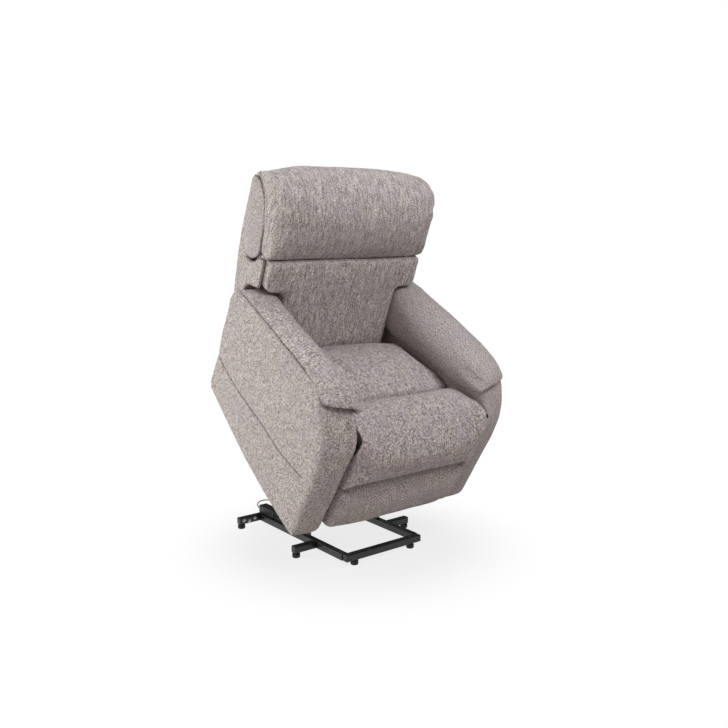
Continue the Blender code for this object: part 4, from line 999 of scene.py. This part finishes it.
def gussetPiece(name, sizes, side):
    # a small stuffed side panel: its outline lies against the chair and its middle swells outwards
    outline, middle = sizes["outline"], sizes["middle"]
    dense = [tuple(p) for p in curveThrough([(0, *p) for p in [*outline, outline[0]]], 0.008)][:-1]

    def ring(share, out):                  # the outline drawn in to a share, and how far out it lies
        return [(side * (sizes["x"] + out), middle[0] + (y - middle[0]) * share,
                 middle[1] + (z - middle[1]) * share) for _, y, z in dense]

    shares = (1.0, 0.96, 0.88, 0.76, 0.6, 0.42, 0.22)
    rings = [ring(share, sizes["bulge"] * (1 - share ** 3.2)) for share in shares]
    thing = lofted(name, [ring(0.97, -sizes["thick"])] + rings)
    softened(thing, 0.004)
    edge = ring(0.985, 0.004)
    sewn(thing, [edge + edge[:2]], gather=0.0007, streak=0.35)
    lumpy(thing, height=0.0016, size=0.05, seed=17.0 + side)
    threaded(thing, facing)
    dressed(thing, "back", fill=0.7)


for word, side in sides.items():
    armPiece(side, word)
    padPiece(side, word)
print("arms and bolsters made")
seatPiece()
chaisePiece()
boxFrontPiece()
apronPiece()
print("seat and footrest made")
headPiece()
lumbarPiece()
shellPiece()
for word, side in sides.items():
    for name, sizes in gussetSizes.items():
        gussetPiece(name + "_" + word, sizes, side)
print("back made")

# ------ the motor lead, from the supply's gland to the lift motor
leadSizes = {
    "radius": 0.0022,
    "route": [(-0.166, 0.5203, 0.059), (-0.166, 0.534, 0.058), (-0.1663, 0.55, 0.06),
              (-0.1655, 0.56, 0.068), (-0.161, 0.56, 0.077), (-0.152, 0.553, 0.085),
              (-0.138, 0.542, 0.089), (-0.122, 0.531, 0.088), (-0.106, 0.519, 0.085),
              (-0.09, 0.503, 0.0835), (-0.076, 0.486, 0.086), (-0.069, 0.468, 0.0925),
              (-0.061, 0.452, 0.102), (-0.051, 0.443, 0.11), (-0.039, 0.44, 0.113),
              (-0.0263, 0.44, 0.113)],
}


def makeLead(material):
    radius = leadSizes["radius"]
    furthest = max(point.y for point in curveThrough(leadSizes["route"], steps=4))
    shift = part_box("motor_lead")[1].y - furthest - radius      # the base's place along the floor
    line = [point + Vector((0, shift, 0)) for point in curveThrough(leadSizes["route"], steps=6)]
    curve = tubeAlong("lead_cable", line, radius, 4)
    lead = link(bpy.data.objects.new("lead_cable", curve))
    curve.materials.append(material)
    length = sum((b - a).length for a, b in zip(line, line[1:]))
    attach(lead, "base")
    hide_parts("motor_lead")
    print("lead %.3f m long" % length)


# ------ hard finishes
def hardMaterial(name, colour, rough, metal, grainScale, bumpHeight, wear=None, roughSpread=0.12,
                 stretch=(1, 1, 1)):
    made, sheet = newMaterial(name)
    place = sheet.node("ShaderNodeTexCoord", {}, {}, "Object").stretched(stretch)
    grain = place.noise(grainScale, 3.0, 0.6)
    broad = place.noise(7.0, 3.0)
    clean = srgb(*colour)
    dull = tuple(part * 0.88 for part in clean)
    base = sheet.node("ShaderNodeValToRGB", {"stops": [(0.3, dull), (0.7, clean)]}, {0: broad})
    roughness = rough + (grain - 0.5) * roughSpread + (broad - 0.5) * 0.1
    if wear:
        edge = sheet.node("ShaderNodeNewGeometry", {}, {}, "Pointiness").between(0.515, 0.56)
        scratch = place.noise(38.0, 4.0, 0.7).between(0.52, 0.66)
        base = base.mixed(solid(*wear), edge * scratch * 0.28)
        roughness = roughness - edge * 0.08
    bump = sheet.node("ShaderNodeBump", {}, {"Strength": 0.35, "Distance": bumpHeight, "Height": grain})
    paint = sheet.node("ShaderNodeBsdfPrincipled", {},
                       {"Base Color": base, "Roughness": roughness, "Normal": bump})
    paint.socket.node.inputs["Metallic"].default_value = metal
    closeMaterial(sheet, paint)
    return made


# slot: material, colour, roughness, metal, scale of the grain, depth of its bump, and what else it has
finishRows = {
    "black_steel": ("powderCoatedSteel", (17, 17, 18), 0.4, 0.0, 900.0, 0.0002, {"wear": (70, 69, 68)}),
    "rod_steel": ("polishedRod", (196, 196, 198), 0.22, 1.0, 260.0, 0.00004,
                  {"roughSpread": 0.1, "stretch": (1, 8, 1)}),
    "spring_steel": ("oiledSpringWire", (128, 126, 122), 0.38, 1.0, 500.0, 0.0001, {}),
    "black_plastic": ("mouldedPlastic", (17, 17, 18), 0.48, 0.0, 1500.0, 0.00012, {"wear": (66, 66, 66)}),
    "grey_plastic": ("buttonPlastic", (132, 132, 136), 0.45, 0.0, 1200.0, 0.0001, {"wear": (160, 160, 162)}),
    "rubber": ("footRubber", (15, 15, 15), 0.75, 0.0, 700.0, 0.0003, {"wear": (48, 47, 46)}),
    "boltZinc": ("zincPlate", (178, 176, 170), 0.34, 1.0, 600.0, 0.0001, {}),
}
finishes = {slot: hardMaterial(*row[:-1], **row[-1]) for slot, row in finishRows.items()}


def makeTimber():
    made, sheet = newMaterial("sawnTimber")
    place = sheet.node("ShaderNodeTexCoord", {}, {}, "Object")
    growth = place.stretched((3.0, 26.0, 26.0)).noise(2.2, 4.0, 0.6)
    pore = place.stretched((20.0, 420.0, 420.0)).noise(1.0, 2.0, 0.7)
    stops = [(0.3, srgb(150, 116, 78)), (0.52, srgb(188, 152, 108)), (0.72, srgb(205, 172, 128))]
    base = sheet.node("ShaderNodeValToRGB", {"stops": stops}, {0: growth})
    base = base.mixed(solid(120, 90, 60), pore.between(0.55, 0.75) * 0.45)
    bump = sheet.node("ShaderNodeBump", {},
                      {"Strength": 0.4, "Distance": 0.0005, "Height": pore + growth * 0.4})
    paint = sheet.node("ShaderNodeBsdfPrincipled", {}, {"Base Color": base, "Roughness": 0.62 + pore * 0.2,
                                                        "Normal": bump})
    closeMaterial(sheet, paint)
    return made


finishes["frame_wood"] = makeTimber()
finishes["grey_weave"] = fabric


def finishNodes():                         # a CAD node's material is named after its slot
    for thing in frame["nodes"].values():
        name = thing.data.materials[0].name
        look = next(finishes[slot] for slot in finishes if name.startswith(slot))
        thing.data.materials.clear()
        thing.data.materials.append(look)


finishNodes()
makeLead(finishes["rubber"])

# ------ small fasteners: bolt heads on the rear cross tube
boltSizes = {"across": 0.0085, "head": 0.0042, "washer": 0.0078, "washerThick": 0.0012,
             "rearTube": [(-0.276, 0.0375), (-0.25, 0.03), (-0.221, 0.0385)]}


def boltMaker(maker, place, outward):
    # a hexagon head with a chamfered rim on a washer, seen from its outer end
    turn = Vector(outward).to_track_quat("Z", "Y").to_matrix().to_4x4()
    shift = Matrix.Translation(place) @ turn
    b = boltSizes

    def disc(radius, start, end, corners, chamfer):
        rings = [(radius, start), (radius, end - chamfer), (radius - chamfer, end)]
        turns = [2 * pi * k / corners for k in range(corners)]
        bridged(maker, [[shift @ Vector((r * cos(t), r * sin(t), h)) for t in turns] for r, h in rings])

    disc(b["washer"], 0.0, b["washerThick"], 28, 0.0003)
    disc(b["across"] / 2 / cos(pi / 6), b["washerThick"], b["washerThick"] + b["head"], 6, 0.0007)


def makeBolts():
    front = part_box("rear_cross_tube")[0].y
    maker = bmesh.new()
    for x, z in boltSizes["rearTube"]:
        for side in (1, -1):
            boltMaker(maker, (side * x, front - 0.0001, z), (0, -1, 0))
    bolts = meshFrom("rear_tube_bolts", maker)
    bolts.data.materials.append(finishes["boltZinc"])
    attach(bolts, "base")


makeBolts()
print("hard finishes and fasteners done")
